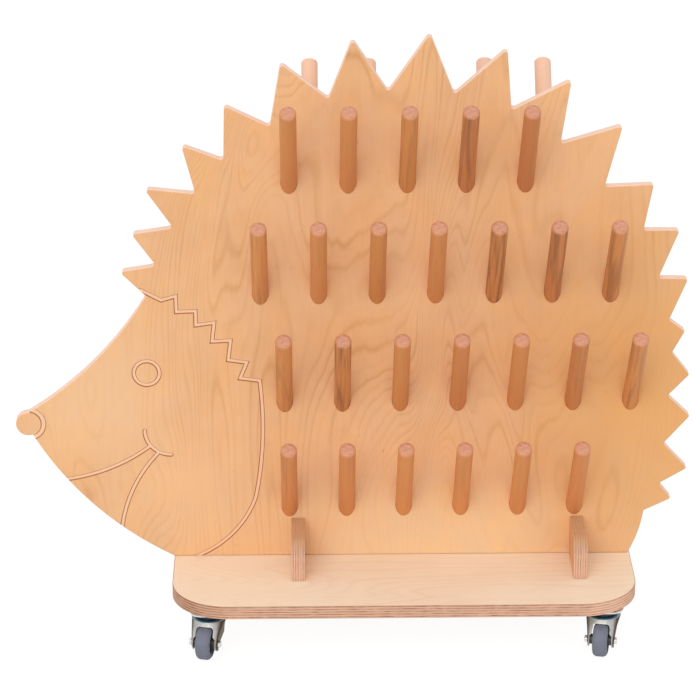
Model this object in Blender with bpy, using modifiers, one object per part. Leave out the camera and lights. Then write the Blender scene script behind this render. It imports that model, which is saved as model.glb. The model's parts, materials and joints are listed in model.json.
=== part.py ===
"""A child's rolling boot rack: a hedgehog cut from plywood, standing on a board with four swivel casters,
and rows of round pegs that slant up out of both faces.

Metres, +Z up, the floor at z = 0. The front looks towards -Y and the hedgehog's nose points to -X. The
origin is on the floor in the middle of the rack. Places along the rack are measured from the middle of the
base board, and heights on the panel from its lower edge.
"""

import math

import bmesh
import bpy
from mathutils import Matrix

# Gaps between pieces
FIT = 0.0003
TURNING_CLEARANCE = 0.0004
WHEEL_SIDE_CLEARANCE = 0.0005

# Base board
BASE_LENGTH = 0.684
BASE_WIDTH = 0.364
BASE_THICKNESS = 0.020
BASE_CORNER_RADIUS = 0.085
BASE_FROM_MIDDLE = 0.0735

# Hedgehog panel: tips and valleys of the quills before rounding, from the rump over the back to the brow
PANEL_THICKNESS = 0.015
QUILL_ROUND = 0.004
RUMP_FOOT_INSET = 0.003
RUMP_MIDDLE = (0.353, 0.033)
RUMP_TOP = (0.361, 0.069)
QUILL_TIPS = (
    (0.402, 0.089), (0.424, 0.138), (0.425, 0.222), (0.422, 0.288), (0.413, 0.357),
    (0.415, 0.439), (0.400, 0.514), (0.360, 0.584), (0.313, 0.673), (0.238, 0.741),
    (0.146, 0.788), (0.036, 0.811), (-0.074, 0.803), (-0.176, 0.768), (-0.257, 0.706),
    (-0.319, 0.647), (-0.374, 0.582), (-0.394, 0.513), (-0.413, 0.455),
)
QUILL_VALLEYS = (
    (0.382, 0.113), (0.387, 0.178), (0.391, 0.255), (0.395, 0.323), (0.389, 0.375),
    (0.371, 0.440), (0.347, 0.514), (0.289, 0.581), (0.224, 0.646), (0.153, 0.697),
    (0.071, 0.721), (-0.023, 0.725), (-0.108, 0.715), (-0.192, 0.674), (-0.259, 0.624),
    (-0.300, 0.574), (-0.333, 0.522), (-0.359, 0.464), (-0.375, 0.417),
)
FOREHEAD = (-0.434, 0.336)
NOSE_CENTRE = (-0.5534, 0.2164)
NOSE_RADIUS = 0.0183
NOSE_TOP_ANGLE = math.radians(88)
NOSE_FOOT_ANGLE = math.radians(290)
CHIN = (-0.4736, 0.099)

# Lines routed into the front of the panel
GROOVE_WIDTH = 0.0065
GROOVE_DEPTH = 0.003
EYE_CENTRE = (-0.3767, 0.2963)
EYE_RADIUS = 0.0188
CHEEK_ARC = ((-0.3817, 0.2047), (-0.3737, 0.1802), (-0.3433, 0.1656))
UPPER_LIP_ARC = ((-0.3737, 0.1802), (-0.4260, 0.1483), (-0.5100, 0.1260))
LOWER_LIP_ARC = ((-0.3617, 0.1693), (-0.4003, 0.1123), (-0.4200, 0.0400))
BACK_LINE_ARC = ((-0.2110, 0.2830), (-0.2075, 0.1900), (-0.2190, 0.0950))
BELLY_LINE_ARC = ((-0.2190, 0.0950), (-0.2460, 0.0460), (-0.3200, -0.0050))
HAIRLINE = (
    (-0.3850, 0.4277), (-0.3529, 0.4104), (-0.3317, 0.4166), (-0.3311, 0.3921), (-0.3033, 0.3932),
    (-0.3031, 0.3711), (-0.2763, 0.3748), (-0.2799, 0.3455), (-0.2527, 0.3467), (-0.2567, 0.3160),
    (-0.2295, 0.3119), (-0.2395, 0.2869), (-0.2110, 0.2830),
)

# Pegs: each row has its height on the panel, its first place and how far to the right it may go
PEG_DIAMETER = 0.025
PEG_LENGTH = 0.1845
PEG_TILT = math.radians(50)
PEG_PITCH = 0.085
PEG_TIP_ROUND = 0.009
SEAT_WEB = 0.001
REAR_SHIFT = 0.0307
PEG_ROWS = (
    (0.592, -0.1653, 0.210),
    (0.422, -0.2084, 0.330),
    (0.252, -0.1743, 0.360),
    (0.083, -0.1684, 0.300),
)
GLUED_REAR_ROW_COUNT = 3

# Brackets between the base board and the panel
BRACKET_END_INSETS = (0.1859, 0.0813)
BRACKET_THICKNESS = 0.020
BRACKET_DEPTH = 0.090
BRACKET_CORNER_RADIUS = 0.010
BRACKET_TO_PEG = 0.002

# Casters: their places from the left and the right end, and how far each is turned at rest
CASTER_HEIGHT = 0.070
CASTER_END_INSETS = (0.055, 0.050)
CASTER_SIDE_INSET = 0.0405
CASTER_TRAIL = 0.025
CASTER_REST_TURNS = {
    "front_left": math.radians(-13),
    "front_right": math.radians(-11.5),
    "rear_left": math.radians(-11),
    "rear_right": math.radians(-12),
}
PLATE_SIDE = 0.056
PLATE_THICKNESS = 0.0025
PLATE_CORNER_RADIUS = 0.006
SCREW_HOLE_DIAMETER = 0.005
SCREW_HOLE_INSET = 0.009
RACE_DIAMETER = 0.042
RACE_WIDTH = 0.007
RACE_HEIGHT = 0.0095
PIN_DIAMETER = 0.008
PIN_HEAD_DIAMETER = 0.014
PIN_HEAD_HEIGHT = 0.003
FORK_SHEET = 0.0022
FORK_CROWN_DIAMETER = 0.051
FORK_SHOULDER_ABOVE_AXLE = 0.018
FORK_SHOULDER_WIDTH = 0.0432
FORK_SHOULDER_AHEAD = 0.006
FORK_SHOULDER_BEHIND = 0.042
FORK_SHOULDER_CORNER = 0.012
FORK_SKIRT_ABOVE_AXLE = 0.008
FORK_SKIRT_BEHIND = 0.037
FORK_FOOT_WIDTH = 0.0384
FORK_FOOT_RADIUS = 0.011
FORK_FOOT_BEHIND = 0.027
FORK_FOOT_CORNER = 0.005
FORK_ARCH_DROP = 0.004
FORK_ARCH_RADIUS = 0.006
FORK_TO_TYRE = 0.002
FLANGE_END_ABOVE_AXLE = 0.009
FLANGE_END_RISE = 0.004
FLANGE_LEFT_BELOW = 0.0008
WHEEL_DIAMETER = 0.050
TYRE_WIDTH = 0.022
TYRE_SHOULDER = 0.007
CORE_DIAMETER = 0.036
CORE_RIM_WIDTH = 0.019
CORE_RIM_WALL = 0.0035
CORE_WEB_WIDTH = 0.008
HUB_DIAMETER = 0.015
AXLE_DIAMETER = 0.006
HEX_ACROSS_FLATS = 0.010
HEX_HEIGHT = 0.004
AXLE_END_PAST_NUT = 0.001

# Facets of the round shapes
FLAT_ANGLE = math.radians(0.1)
PEG_SIDES = 12
PEG_TIP_STEPS = 2
QUILL_STEPS = 2
CORNER_STEPS = 3
BOARD_CORNER_STEPS = 8
RUMP_STEPS = 4
NOSE_STEPS = 12
PROFILE_ARC_STEPS = 12
GROOVE_ARC_STEPS = 6
GROOVE_END_STEPS = 4
RING_STEPS = 24
TYRE_STEPS = 24
TYRE_SHOULDER_STEPS = 2
CORE_STEPS = 12
RACE_STEPS = 12
RACE_SECTION_STEPS = 6
PIN_STEPS = 12
AXLE_STEPS = 10
FORK_CORNER_STEPS = 3
FORK_FOOT_STEPS = 2
HOLE_STEPS = 8

# Heights and places that follow from the sizes above
BASE_BOTTOM = CASTER_HEIGHT + FIT
BASE_TOP = BASE_BOTTOM + BASE_THICKNESS
PANEL_BOTTOM = BASE_TOP + FIT
PANEL_FACE = PANEL_THICKNESS / 2
PEG_RADIUS = PEG_DIAMETER / 2
PEG_LEAN = math.pi / 2 - PEG_TILT
PEG_SEAT = (PANEL_THICKNESS - SEAT_WEB) / 2
SEPARATE_REAR_ROWS = PEG_ROWS[:-GLUED_REAR_ROW_COUNT]
GLUED_REAR_ROWS = PEG_ROWS[-GLUED_REAR_ROW_COUNT:]
LOWEST_PEG = min(height for height, first, limit in PEG_ROWS) - PEG_RADIUS / math.cos(PEG_TILT)
BRACKET_HEIGHT = LOWEST_PEG - BRACKET_TO_PEG
AXLE_DROP = CASTER_HEIGHT - WHEEL_DIAMETER / 2
RACE_TOP = -PLATE_THICKNESS - FIT
CROWN_TOP = RACE_TOP - RACE_HEIGHT - FIT
CROWN_BOTTOM = CROWN_TOP - FORK_SHEET
CHEEK_INNER = FORK_FOOT_WIDTH / 2 - FORK_SHEET

WOOD_PANEL = ((0.80, 0.46, 0.24), 0.45, 0.0)
WOOD_BOARD = ((0.87, 0.60, 0.40), 0.5, 0.0)
WOOD_EDGE = ((0.70, 0.42, 0.27), 0.55, 0.0)
WOOD_PEG = ((0.50, 0.20, 0.09), 0.45, 0.0)
ZINC = ((0.56, 0.57, 0.58), 0.3, 1.0)
RACE_STEEL = ((0.25, 0.33, 0.42), 0.35, 1.0)
CORE_PLASTIC = ((0.24, 0.24, 0.25), 0.5, 0.0)
RUBBER = ((0.15, 0.145, 0.15), 0.7, 0.0)


def clear_scene():
    for obj in list(bpy.data.objects):
        bpy.data.objects.remove(obj, do_unlink=True)


def new_collection(name):
    collection = bpy.data.collections.new(name)
    bpy.context.scene.collection.children.link(collection)
    return collection


def new_material(name, look):
    colour, roughness, metallic = look
    material = bpy.data.materials.new(name)
    material.use_nodes = True
    shader = material.node_tree.nodes["Principled BSDF"]
    shader.inputs["Base Color"].default_value = (*colour, 1.0)
    shader.inputs["Roughness"].default_value = roughness
    shader.inputs["Metallic"].default_value = metallic
    material.diffuse_color = (*colour, 1.0)
    return material


def add_part(name, mesh, look, location=(0, 0, 0), rotation=(0, 0, 0)):
    """A visible piece of the rack, placed under the rack's empty."""
    if not mesh.materials:
        mesh.materials.append(new_material(name, look))
    obj = bpy.data.objects.new(name, mesh)
    PARTS.objects.link(obj)
    obj.parent = RACK
    obj.location = location
    obj.rotation_euler = rotation
    return obj


def add_cutter(name, mesh):
    """A hidden shape that cuts or joins another one."""
    obj = bpy.data.objects.new(name, mesh)
    CUTTERS.objects.link(obj)
    obj.parent = RACK
    obj.hide_render = True
    obj.display_type = "WIRE"
    return obj


def combine(target, tool, operation):
    modifier = target.modifiers.new(tool.name, "BOOLEAN")
    modifier.operation = operation
    modifier.object = tool
    modifier.solver = "EXACT"


def baked(obj):
    """The mesh of an object with its modifiers applied; the object goes."""
    bpy.context.view_layer.update()
    graph = bpy.context.evaluated_depsgraph_get()
    mesh = bpy.data.meshes.new_from_object(obj.evaluated_get(graph))
    bpy.data.objects.remove(obj)
    return mesh


def welded(mesh):
    """Closes the loose caps of a filled curve, makes flat areas one face and turns every face outwards."""
    work = bmesh.new()
    work.from_mesh(mesh)
    bmesh.ops.remove_doubles(work, verts=work.verts, dist=1e-6)
    bmesh.ops.dissolve_limit(work, angle_limit=FLAT_ANGLE, verts=work.verts, edges=work.edges)
    bmesh.ops.recalc_face_normals(work, faces=work.faces)
    work.to_mesh(mesh)
    work.free()
    return mesh


def smooth(mesh, angle=35):
    mesh.shade_smooth()
    mesh.set_sharp_from_angle(angle=math.radians(angle))
    return mesh


def point_on_circle(centre, radius, angle):
    return (centre[0] + radius * math.cos(angle), centre[1] + radius * math.sin(angle))


def arc(centre, radius, start, end, steps):
    turn = (end - start) / steps
    return [point_on_circle(centre, radius, start + turn * i) for i in range(steps + 1)]


def circle(centre, radius, steps):
    return arc(centre, radius, 0, 2 * math.pi, steps)[:-1]


def arc_through(first, middle, last, steps):
    """Points from first to last on the circle that also passes middle."""
    ax, ay = first
    bx, by = middle[0] - ax, middle[1] - ay
    cx, cy = last[0] - ax, last[1] - ay
    scale = 2 * (bx * cy - by * cx)
    ux = (cy * (bx * bx + by * by) - by * (cx * cx + cy * cy)) / scale
    uy = (bx * (cx * cx + cy * cy) - cx * (bx * bx + by * by)) / scale
    centre = (ax + ux, ay + uy)
    start = math.atan2(-uy, -ux)
    to_middle = (math.atan2(by - uy, bx - ux) - start) % (2 * math.pi)
    sweep = (math.atan2(cy - uy, cx - ux) - start) % (2 * math.pi)
    if to_middle > sweep:
        sweep -= 2 * math.pi
    return arc(centre, math.hypot(ux, uy), start, start + sweep, steps)


def rounded_corner(before, corner, after, radius, steps):
    """The arc that replaces a corner, never longer than half of the shorter side."""
    ax, ay = before[0] - corner[0], before[1] - corner[1]
    bx, by = after[0] - corner[0], after[1] - corner[1]
    a, b = math.hypot(ax, ay), math.hypot(bx, by)
    half = math.acos((ax * bx + ay * by) / (a * b)) / 2
    reach = min(radius / math.tan(half), a / 2, b / 2)
    start = (corner[0] + ax / a * reach, corner[1] + ay / a * reach)
    end = (corner[0] + bx / b * reach, corner[1] + by / b * reach)
    mx, my = ax / a + bx / b, ay / a + by / b
    depth = (reach / math.cos(half) - reach * math.tan(half)) / math.hypot(mx, my)
    return arc_through(start, (corner[0] + mx * depth, corner[1] + my * depth), end, steps)


def rounded_rectangle(length, width, radius, steps):
    x, y = length / 2 - radius, width / 2 - radius
    corners = ((x, y, 0), (-x, y, 1), (-x, -y, 2), (x, -y, 3))
    points = []
    for cx, cy, quarter in corners:
        start = quarter * math.pi / 2
        points += arc((cx, cy), radius, start, start + math.pi / 2, steps)
    return points


def slab(outlines, thickness):
    """A flat solid, centred on z = 0, inside the first outline and outside any others."""
    curve = bpy.data.curves.new("outline", "CURVE")
    curve.dimensions = "2D"
    curve.fill_mode = "BOTH"
    curve.extrude = thickness / 2
    for points in outlines:
        spline = curve.splines.new("POLY")
        spline.points.add(len(points) - 1)
        spline.use_cyclic_u = True
        for place, (x, y) in zip(spline.points, points):
            place.co = (x, y, 0, 1)
    holder = bpy.data.objects.new("outline", curve)
    bpy.context.scene.collection.objects.link(holder)
    return welded(baked(holder))


def upright(mesh):
    """Turns a flat solid so that its outline's second coordinate becomes height and it faces -Y."""
    mesh.transform(Matrix.Rotation(math.pi / 2, 4, "X"))
    return mesh


def turned(profile, steps, closed):
    """A profile of radius and height, turned about Z. It runs down its outer side."""
    mesh = bpy.data.meshes.new("profile")
    edges = [(i, i + 1) for i in range(len(profile) - 1)]
    if closed:
        edges.append((len(profile) - 1, 0))
    mesh.from_pydata([(r, 0, z) for r, z in profile], edges, [])
    holder = bpy.data.objects.new("profile", mesh)
    bpy.context.scene.collection.objects.link(holder)
    screw = holder.modifiers.new("turn", "SCREW")
    screw.steps = steps
    screw.render_steps = steps
    screw.use_merge_vertices = True
    screw.merge_threshold = 1e-6
    return welded(baked(holder))


def cylinder(radius, bottom, top, steps):
    mesh = bpy.data.meshes.new("cylinder")
    work = bmesh.new()
    bmesh.ops.create_cone(
        work, cap_ends=True, segments=steps, radius1=radius, radius2=radius, depth=top - bottom,
        matrix=Matrix.Translation((0, 0, (bottom + top) / 2)),
    )
    work.to_mesh(mesh)
    work.free()
    return mesh


def joined(name, mesh, places):
    """One mesh that holds a copy of another at each place."""
    work = bmesh.new()
    for place in places:
        copy = mesh.copy()
        copy.transform(place)
        work.from_mesh(copy)
        bpy.data.meshes.remove(copy)
    result = bpy.data.meshes.new(name)
    work.to_mesh(result)
    work.free()
    return result


def peg_mesh(radius, length, seat, tip_round):
    """A peg along Z from the panel's face at its origin, cut off inside the wood parallel to that face."""
    mesh = bpy.data.meshes.new("peg")
    work = bmesh.new()
    bmesh.ops.create_cone(
        work, cap_ends=True, segments=PEG_SIDES, radius1=radius, radius2=radius, depth=length
    )
    for vertex in work.verts:
        if vertex.co.z > 0:
            vertex.co.z = length
        else:
            vertex.co.z = (vertex.co.y * math.cos(PEG_LEAN) - seat) / math.sin(PEG_LEAN)
    if tip_round:
        rim = [e for e in work.edges if min(v.co.z for v in e.verts) > length / 2]
        bmesh.ops.bevel(
            work, geom=rim, offset=tip_round, segments=PEG_TIP_STEPS, profile=0.5, affect="EDGES"
        )
    work.to_mesh(mesh)
    work.free()
    return smooth(mesh)


def peg_place(x, height, rear):
    """Where a peg stands: on the front face, or turned about on the rear one."""
    side = 1 if rear else -1
    return (
        Matrix.Translation((x, side * PANEL_FACE, PANEL_BOTTOM + height))
        @ Matrix.Rotation(math.pi if rear else 0, 4, "Z")
        @ Matrix.Rotation(PEG_LEAN, 4, "X")
    )


def row_places(row, rear):
    height, first, limit = row
    start = first + (REAR_SHIFT if rear else 0)
    count = int((limit - start) / PEG_PITCH) + 1
    return [peg_place(start + i * PEG_PITCH, height, rear) for i in range(count)]


def panel_outline():
    """The hedgehog's edge, anticlockwise as seen from the front."""
    half = BASE_LENGTH / 2
    rump = arc_through((half - RUMP_FOOT_INSET, 0), RUMP_MIDDLE, RUMP_TOP, RUMP_STEPS)
    corners = [RUMP_TOP]
    for tip, valley in zip(QUILL_TIPS, QUILL_VALLEYS):
        corners += [tip, valley]
    quills = []
    for before, corner, after in zip(corners, corners[1:], corners[2:]):
        quills += rounded_corner(before, corner, after, QUILL_ROUND, QUILL_STEPS)
    nose_top = point_on_circle(NOSE_CENTRE, NOSE_RADIUS, NOSE_TOP_ANGLE)
    nose_foot = point_on_circle(NOSE_CENTRE, NOSE_RADIUS, NOSE_FOOT_ANGLE)
    brow = arc_through(corners[-1], FOREHEAD, nose_top, PROFILE_ARC_STEPS)
    nose = arc(NOSE_CENTRE, NOSE_RADIUS, NOSE_TOP_ANGLE, NOSE_FOOT_ANGLE, NOSE_STEPS)
    chin = arc_through(nose_foot, CHIN, (-half, 0), PROFILE_ARC_STEPS)
    return rump + quills + brow[:-1] + nose + chin[1:]


def band(path, width, round_ends):
    """The outline of a line of this width along a path, with square or round ends."""
    sides = ([], [])
    for i, (x, y) in enumerate(path):
        x0, y0 = path[max(i - 1, 0)]
        x1, y1 = path[min(i + 1, len(path) - 1)]
        before = math.atan2(y - y0, x - x0) if i else math.atan2(y1 - y, x1 - x)
        after = math.atan2(y1 - y, x1 - x) if i < len(path) - 1 else before
        bend = (after - before + math.pi) % (2 * math.pi) - math.pi
        normal = before + bend / 2 + math.pi / 2
        reach = width / 2 / math.cos(bend / 2)
        sides[0].append(point_on_circle((x, y), reach, normal))
        sides[1].append(point_on_circle((x, y), -reach, normal))
    left, right = sides
    if not round_ends:
        return right + left[::-1]
    (x0, y0), (x1, y1) = path[-2], path[-1]
    heading = math.atan2(y1 - y0, x1 - x0)
    end = arc(path[-1], width / 2, heading - math.pi / 2, heading + math.pi / 2, GROOVE_END_STEPS)
    (x0, y0), (x1, y1) = path[1], path[0]
    heading = math.atan2(y1 - y0, x1 - x0)
    start = arc(path[0], width / 2, heading - math.pi / 2, heading + math.pi / 2, GROOVE_END_STEPS)
    return right[1:-1] + end + left[-2:0:-1] + start


def groove_outlines():
    """Named outlines of the routed lines; a ring has an outer and an inner circle."""
    half = GROOVE_WIDTH / 2
    nose_line = NOSE_RADIUS + FIT + half
    back = arc_through(*BACK_LINE_ARC, GROOVE_ARC_STEPS)
    belly = arc_through(*BELLY_LINE_ARC, GROOVE_ARC_STEPS)
    lines = {
        "eye_groove": [circle(EYE_CENTRE, EYE_RADIUS + half, RING_STEPS),
                       circle(EYE_CENTRE, EYE_RADIUS - half, RING_STEPS)],
        "nose_groove": [circle(NOSE_CENTRE, nose_line + half, RING_STEPS),
                        circle(NOSE_CENTRE, nose_line - half, RING_STEPS)],
        "hairline_groove": [band(list(HAIRLINE) + back[1:] + belly[1:], GROOVE_WIDTH, False)],
    }
    for name, points in (("cheek", CHEEK_ARC), ("upper_lip", UPPER_LIP_ARC), ("lower_lip", LOWER_LIP_ARC)):
        lines[name + "_groove"] = [band(arc_through(*points, GROOVE_ARC_STEPS), GROOVE_WIDTH, True)]
    return lines


def make_panel():
    panel = add_part(
        "hedgehog_panel", upright(slab([panel_outline()], PANEL_THICKNESS)), WOOD_PANEL,
        (0, 0, PANEL_BOTTOM),
    )
    peg = peg_mesh(PEG_RADIUS, PEG_LENGTH, PEG_SEAT, PEG_TIP_ROUND)
    glued = []
    for row in GLUED_REAR_ROWS:
        glued += row_places(row, True)
    combine(panel, add_cutter("glued_rear_pegs", joined("glued_rear_pegs", peg, glued)), "UNION")
    seat = peg_mesh(PEG_RADIUS + FIT, PEG_LENGTH, PEG_SEAT + FIT, 0)
    seated = []
    for row in PEG_ROWS:
        seated += row_places(row, False)
    for row in SEPARATE_REAR_ROWS:
        seated += row_places(row, True)
    combine(panel, add_cutter("peg_seats", joined("peg_seats", seat, seated)), "DIFFERENCE")
    for name, outlines in groove_outlines().items():
        cutter = add_cutter(name, upright(slab(outlines, 2 * GROOVE_DEPTH)))
        cutter.location = (0, -PANEL_FACE, PANEL_BOTTOM)
        combine(panel, cutter, "DIFFERENCE")


def make_pegs():
    peg = peg_mesh(PEG_RADIUS, PEG_LENGTH, PEG_SEAT, PEG_TIP_ROUND)
    peg.materials.append(new_material("peg", WOOD_PEG))
    for number, row in enumerate(PEG_ROWS, 1):
        for rear in (False, True):
            if rear and row not in SEPARATE_REAR_ROWS:
                continue
            side = "rear" if rear else "front"
            for column, place in enumerate(row_places(row, rear), 1):
                add_part(
                    f"{side}_peg_row{number}_{column}", peg, WOOD_PEG,
                    place.to_translation(), place.to_euler(),
                )


def make_base():
    outline = rounded_rectangle(BASE_LENGTH, BASE_WIDTH, BASE_CORNER_RADIUS, BOARD_CORNER_STEPS)
    board = slab([outline], BASE_THICKNESS)
    add_part("base_board", board, WOOD_BOARD, (0, 0, (BASE_BOTTOM + BASE_TOP) / 2))


def make_brackets():
    """Blocks on edge: the outline runs away from the panel in its first coordinate and up in its second."""
    foot = (BRACKET_DEPTH, 0)
    corner = (BRACKET_DEPTH, BRACKET_HEIGHT)
    back = (0, BRACKET_HEIGHT)
    outline = [(0, 0), foot]
    outline += rounded_corner(foot, corner, back, BRACKET_CORNER_RADIUS, BOARD_CORNER_STEPS)
    outline.append(back)
    half = BASE_LENGTH / 2
    left_inset, right_inset = BRACKET_END_INSETS
    block = upright(slab([outline], BRACKET_THICKNESS))
    block.materials.append(new_material("bracket", WOOD_EDGE))
    for name, side in (("front", -1), ("rear", 1)):
        for hand, x in (("left", left_inset - half), ("right", half - right_inset)):
            add_part(
                f"{name}_{hand}_bracket", block, WOOD_EDGE,
                (x, side * (PANEL_FACE + FIT), PANEL_BOTTOM), (0, 0, side * math.pi / 2),
            )


def plate_mesh():
    """The mounting plate with its swivel pin, from the plate's top down."""
    inset = PLATE_SIDE / 2 - SCREW_HOLE_INSET
    outlines = [rounded_rectangle(PLATE_SIDE, PLATE_SIDE, PLATE_CORNER_RADIUS, CORNER_STEPS)]
    for x in (-inset, inset):
        for y in (-inset, inset):
            outlines.append(circle((x, y), SCREW_HOLE_DIAMETER / 2, HOLE_STEPS))
    mesh = slab(outlines, PLATE_THICKNESS)
    mesh.transform(Matrix.Translation((0, 0, -PLATE_THICKNESS / 2)))
    plate = bpy.data.objects.new("plate", mesh)
    bpy.context.scene.collection.objects.link(plate)
    head_top = CROWN_BOTTOM - FIT
    profile = [
        (0, -PLATE_THICKNESS / 2),
        (PIN_DIAMETER / 2, -PLATE_THICKNESS / 2),
        (PIN_DIAMETER / 2, head_top),
        (PIN_HEAD_DIAMETER / 2, head_top),
        (PIN_HEAD_DIAMETER / 2, head_top - PIN_HEAD_HEIGHT / 2),
        (PIN_DIAMETER / 2, head_top - PIN_HEAD_HEIGHT),
        (0, head_top - PIN_HEAD_HEIGHT),
    ]
    pin = add_cutter("swivel_pin", turned(profile, PIN_STEPS, False))
    pin.parent = None
    combine(plate, pin, "UNION")
    mesh = baked(plate)
    bpy.data.objects.remove(pin)
    return smooth(mesh)


def race_mesh():
    """The ball race: a ring of round section under the plate."""
    middle = (RACE_DIAMETER - RACE_WIDTH) / 2
    height = RACE_TOP - RACE_HEIGHT / 2
    turn = 2 * math.pi / RACE_SECTION_STEPS
    profile = []
    for i in range(RACE_SECTION_STEPS):
        angle = math.pi / 2 - turn / 2 - turn * i
        across = RACE_WIDTH / 2 / math.cos(turn / 2) * math.cos(angle)
        profile.append((middle + across, height + RACE_HEIGHT / 2 / math.cos(turn / 2) * math.sin(angle)))
    return smooth(turned(profile, RACE_STEPS, True))


def fork_section(wall, width, ahead, behind, corner):
    """One level of the fork: a rounded oblong that reaches ahead of the axle and behind it."""
    depth = ahead + behind - 2 * wall
    radius = min(corner - wall, depth / 3)
    middle = (behind - ahead) / 2 - CASTER_TRAIL
    outline = rounded_rectangle(width - 2 * wall, depth, radius, FORK_CORNER_STEPS)
    return [(x, y + middle) for x, y in outline]


def fork_loft(name, wall, top, foot_round):
    """A closed loft from the round crown to the foot about the axle, drawn in by a wall's thickness."""
    steps = 4 * (FORK_CORNER_STEPS + 1)
    turn = 2 * math.pi / steps
    crown = arc((0, 0), FORK_CROWN_DIAMETER / 2 - wall, turn / 2, 2 * math.pi - turn / 2, steps - 1)
    shoulder = fork_section(
        wall, FORK_SHOULDER_WIDTH, FORK_SHOULDER_AHEAD, FORK_SHOULDER_BEHIND, FORK_SHOULDER_CORNER)
    skirt = fork_section(wall, FORK_FOOT_WIDTH, FORK_FOOT_RADIUS, FORK_SKIRT_BEHIND, FORK_FOOT_CORNER)
    foot = fork_section(wall, FORK_FOOT_WIDTH, FORK_FOOT_RADIUS, FORK_FOOT_BEHIND, FORK_FOOT_CORNER)
    levels = [
        (top, crown),
        (FORK_SHOULDER_ABOVE_AXLE - AXLE_DROP, shoulder),
        (FORK_SKIRT_ABOVE_AXLE - AXLE_DROP, skirt),
        (-AXLE_DROP, foot),
    ]
    for i in range(1, FORK_FOOT_STEPS + 1):
        angle = math.pi / 2 * i / (FORK_FOOT_STEPS + 0.5)
        reach = FORK_FOOT_RADIUS * math.cos(angle)
        drop = math.sin(angle)
        if foot_round:
            section = fork_section(wall, FORK_FOOT_WIDTH, reach, reach, FORK_FOOT_CORNER)
            levels.append((-AXLE_DROP - FORK_FOOT_RADIUS * drop, section))
        else:
            levels.append((-AXLE_DROP - FORK_FOOT_RADIUS * i, foot))
    mesh = bpy.data.meshes.new(name)
    work = bmesh.new()
    rings = []
    for z, points in levels:
        rings.append([work.verts.new((x, y, z)) for x, y in points])
    for upper, lower in zip(rings, rings[1:]):
        for i in range(len(upper)):
            work.faces.new((upper[i - 1], lower[i - 1], lower[i], upper[i]))
    work.faces.new(rings[0])
    work.faces.new(rings[-1][::-1])
    bmesh.ops.recalc_face_normals(work, faces=work.faces)
    work.to_mesh(mesh)
    work.free()
    return mesh


def fork_mesh():
    """The pressed fork: a thin shell under the crown, open for the wheel in front and behind."""
    fork = bpy.data.objects.new("fork", fork_loft("fork", 0, CROWN_TOP, True))
    bpy.context.scene.collection.objects.link(fork)
    arch_half = TYRE_WIDTH / 2 + FORK_TO_TYRE
    arch_top = CROWN_BOTTOM - FORK_ARCH_DROP
    below = -2 * CASTER_HEIGHT
    foot_half = CHEEK_INNER - FLANGE_LEFT_BELOW
    flange_end = FLANGE_END_ABOVE_AXLE - AXLE_DROP
    narrow = flange_end + FLANGE_END_RISE
    left, right = (-arch_half, arch_top), (arch_half, arch_top)
    arch_points = [(-foot_half, below), (foot_half, below), (foot_half, flange_end), (arch_half, narrow)]
    arch_points += rounded_corner((arch_half, narrow), right, left, FORK_ARCH_RADIUS, CORNER_STEPS)
    arch_points += rounded_corner(right, left, (-arch_half, narrow), FORK_ARCH_RADIUS, CORNER_STEPS)
    arch_points += [(-arch_half, narrow), (-foot_half, flange_end)]
    axle_hole = cylinder(AXLE_DIAMETER / 2 + FIT, -FORK_FOOT_WIDTH, FORK_FOOT_WIDTH, AXLE_STEPS)
    axle_hole.transform(axle_place().to_4x4())
    tools = [
        add_cutter("fork_hollow", fork_loft("fork_hollow", FORK_SHEET, CROWN_BOTTOM, False)),
        add_cutter("fork_arch", upright(slab([arch_points], 4 * FORK_CROWN_DIAMETER))),
        add_cutter("fork_axle_holes", axle_hole),
        add_cutter("fork_pin_hole", cylinder(
            PIN_DIAMETER / 2 + TURNING_CLEARANCE, CROWN_BOTTOM - FIT, CROWN_TOP + FIT, PIN_STEPS)),
    ]
    for tool in tools:
        tool.parent = None
        combine(fork, tool, "DIFFERENCE")
    mesh = baked(fork)
    for tool in tools:
        bpy.data.objects.remove(tool)
    return smooth(mesh)


def axle_place():
    """From a piece turned about Z at its origin to its place on the fork's axle."""
    return Matrix.Translation((0, -CASTER_TRAIL, -AXLE_DROP)) @ Matrix.Rotation(math.pi / 2, 4, "Y")


def axle_mesh():
    """The axle bolt with its hexagonal head and nut."""
    seat = FORK_FOOT_WIDTH / 2 + FIT
    end = seat + HEX_HEIGHT
    hex_radius = HEX_ACROSS_FLATS / 2 / math.cos(math.pi / 6)
    bolt = bpy.data.objects.new(
        "bolt", cylinder(AXLE_DIAMETER / 2, -end - AXLE_END_PAST_NUT, end - HEX_HEIGHT / 2, AXLE_STEPS))
    bpy.context.scene.collection.objects.link(bolt)
    tools = [
        add_cutter("bolt_head", cylinder(hex_radius, seat, end, 6)),
        add_cutter("bolt_nut", cylinder(hex_radius, -end, -seat, 6)),
    ]
    for tool in tools:
        tool.parent = None
        combine(bolt, tool, "UNION")
    mesh = baked(bolt)
    for tool in tools:
        bpy.data.objects.remove(tool)
    return smooth(mesh)


def core_mesh():
    """The wheel core: hub, web and rim in one turned piece."""
    bore = AXLE_DIAMETER / 2 + TURNING_CLEARANCE
    hub = HUB_DIAMETER / 2
    rim = CORE_DIAMETER / 2
    hollow = rim - CORE_RIM_WALL
    hub_end = CHEEK_INNER - WHEEL_SIDE_CLEARANCE
    half = [(bore, hub_end), (hub, hub_end), (hub, CORE_WEB_WIDTH / 2), (hollow, CORE_WEB_WIDTH / 2),
            (hollow, CORE_RIM_WIDTH / 2), (rim, CORE_RIM_WIDTH / 2)]
    profile = half + [(r, -z) for r, z in half[::-1]]
    return smooth(turned(profile, CORE_STEPS, True))


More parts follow.
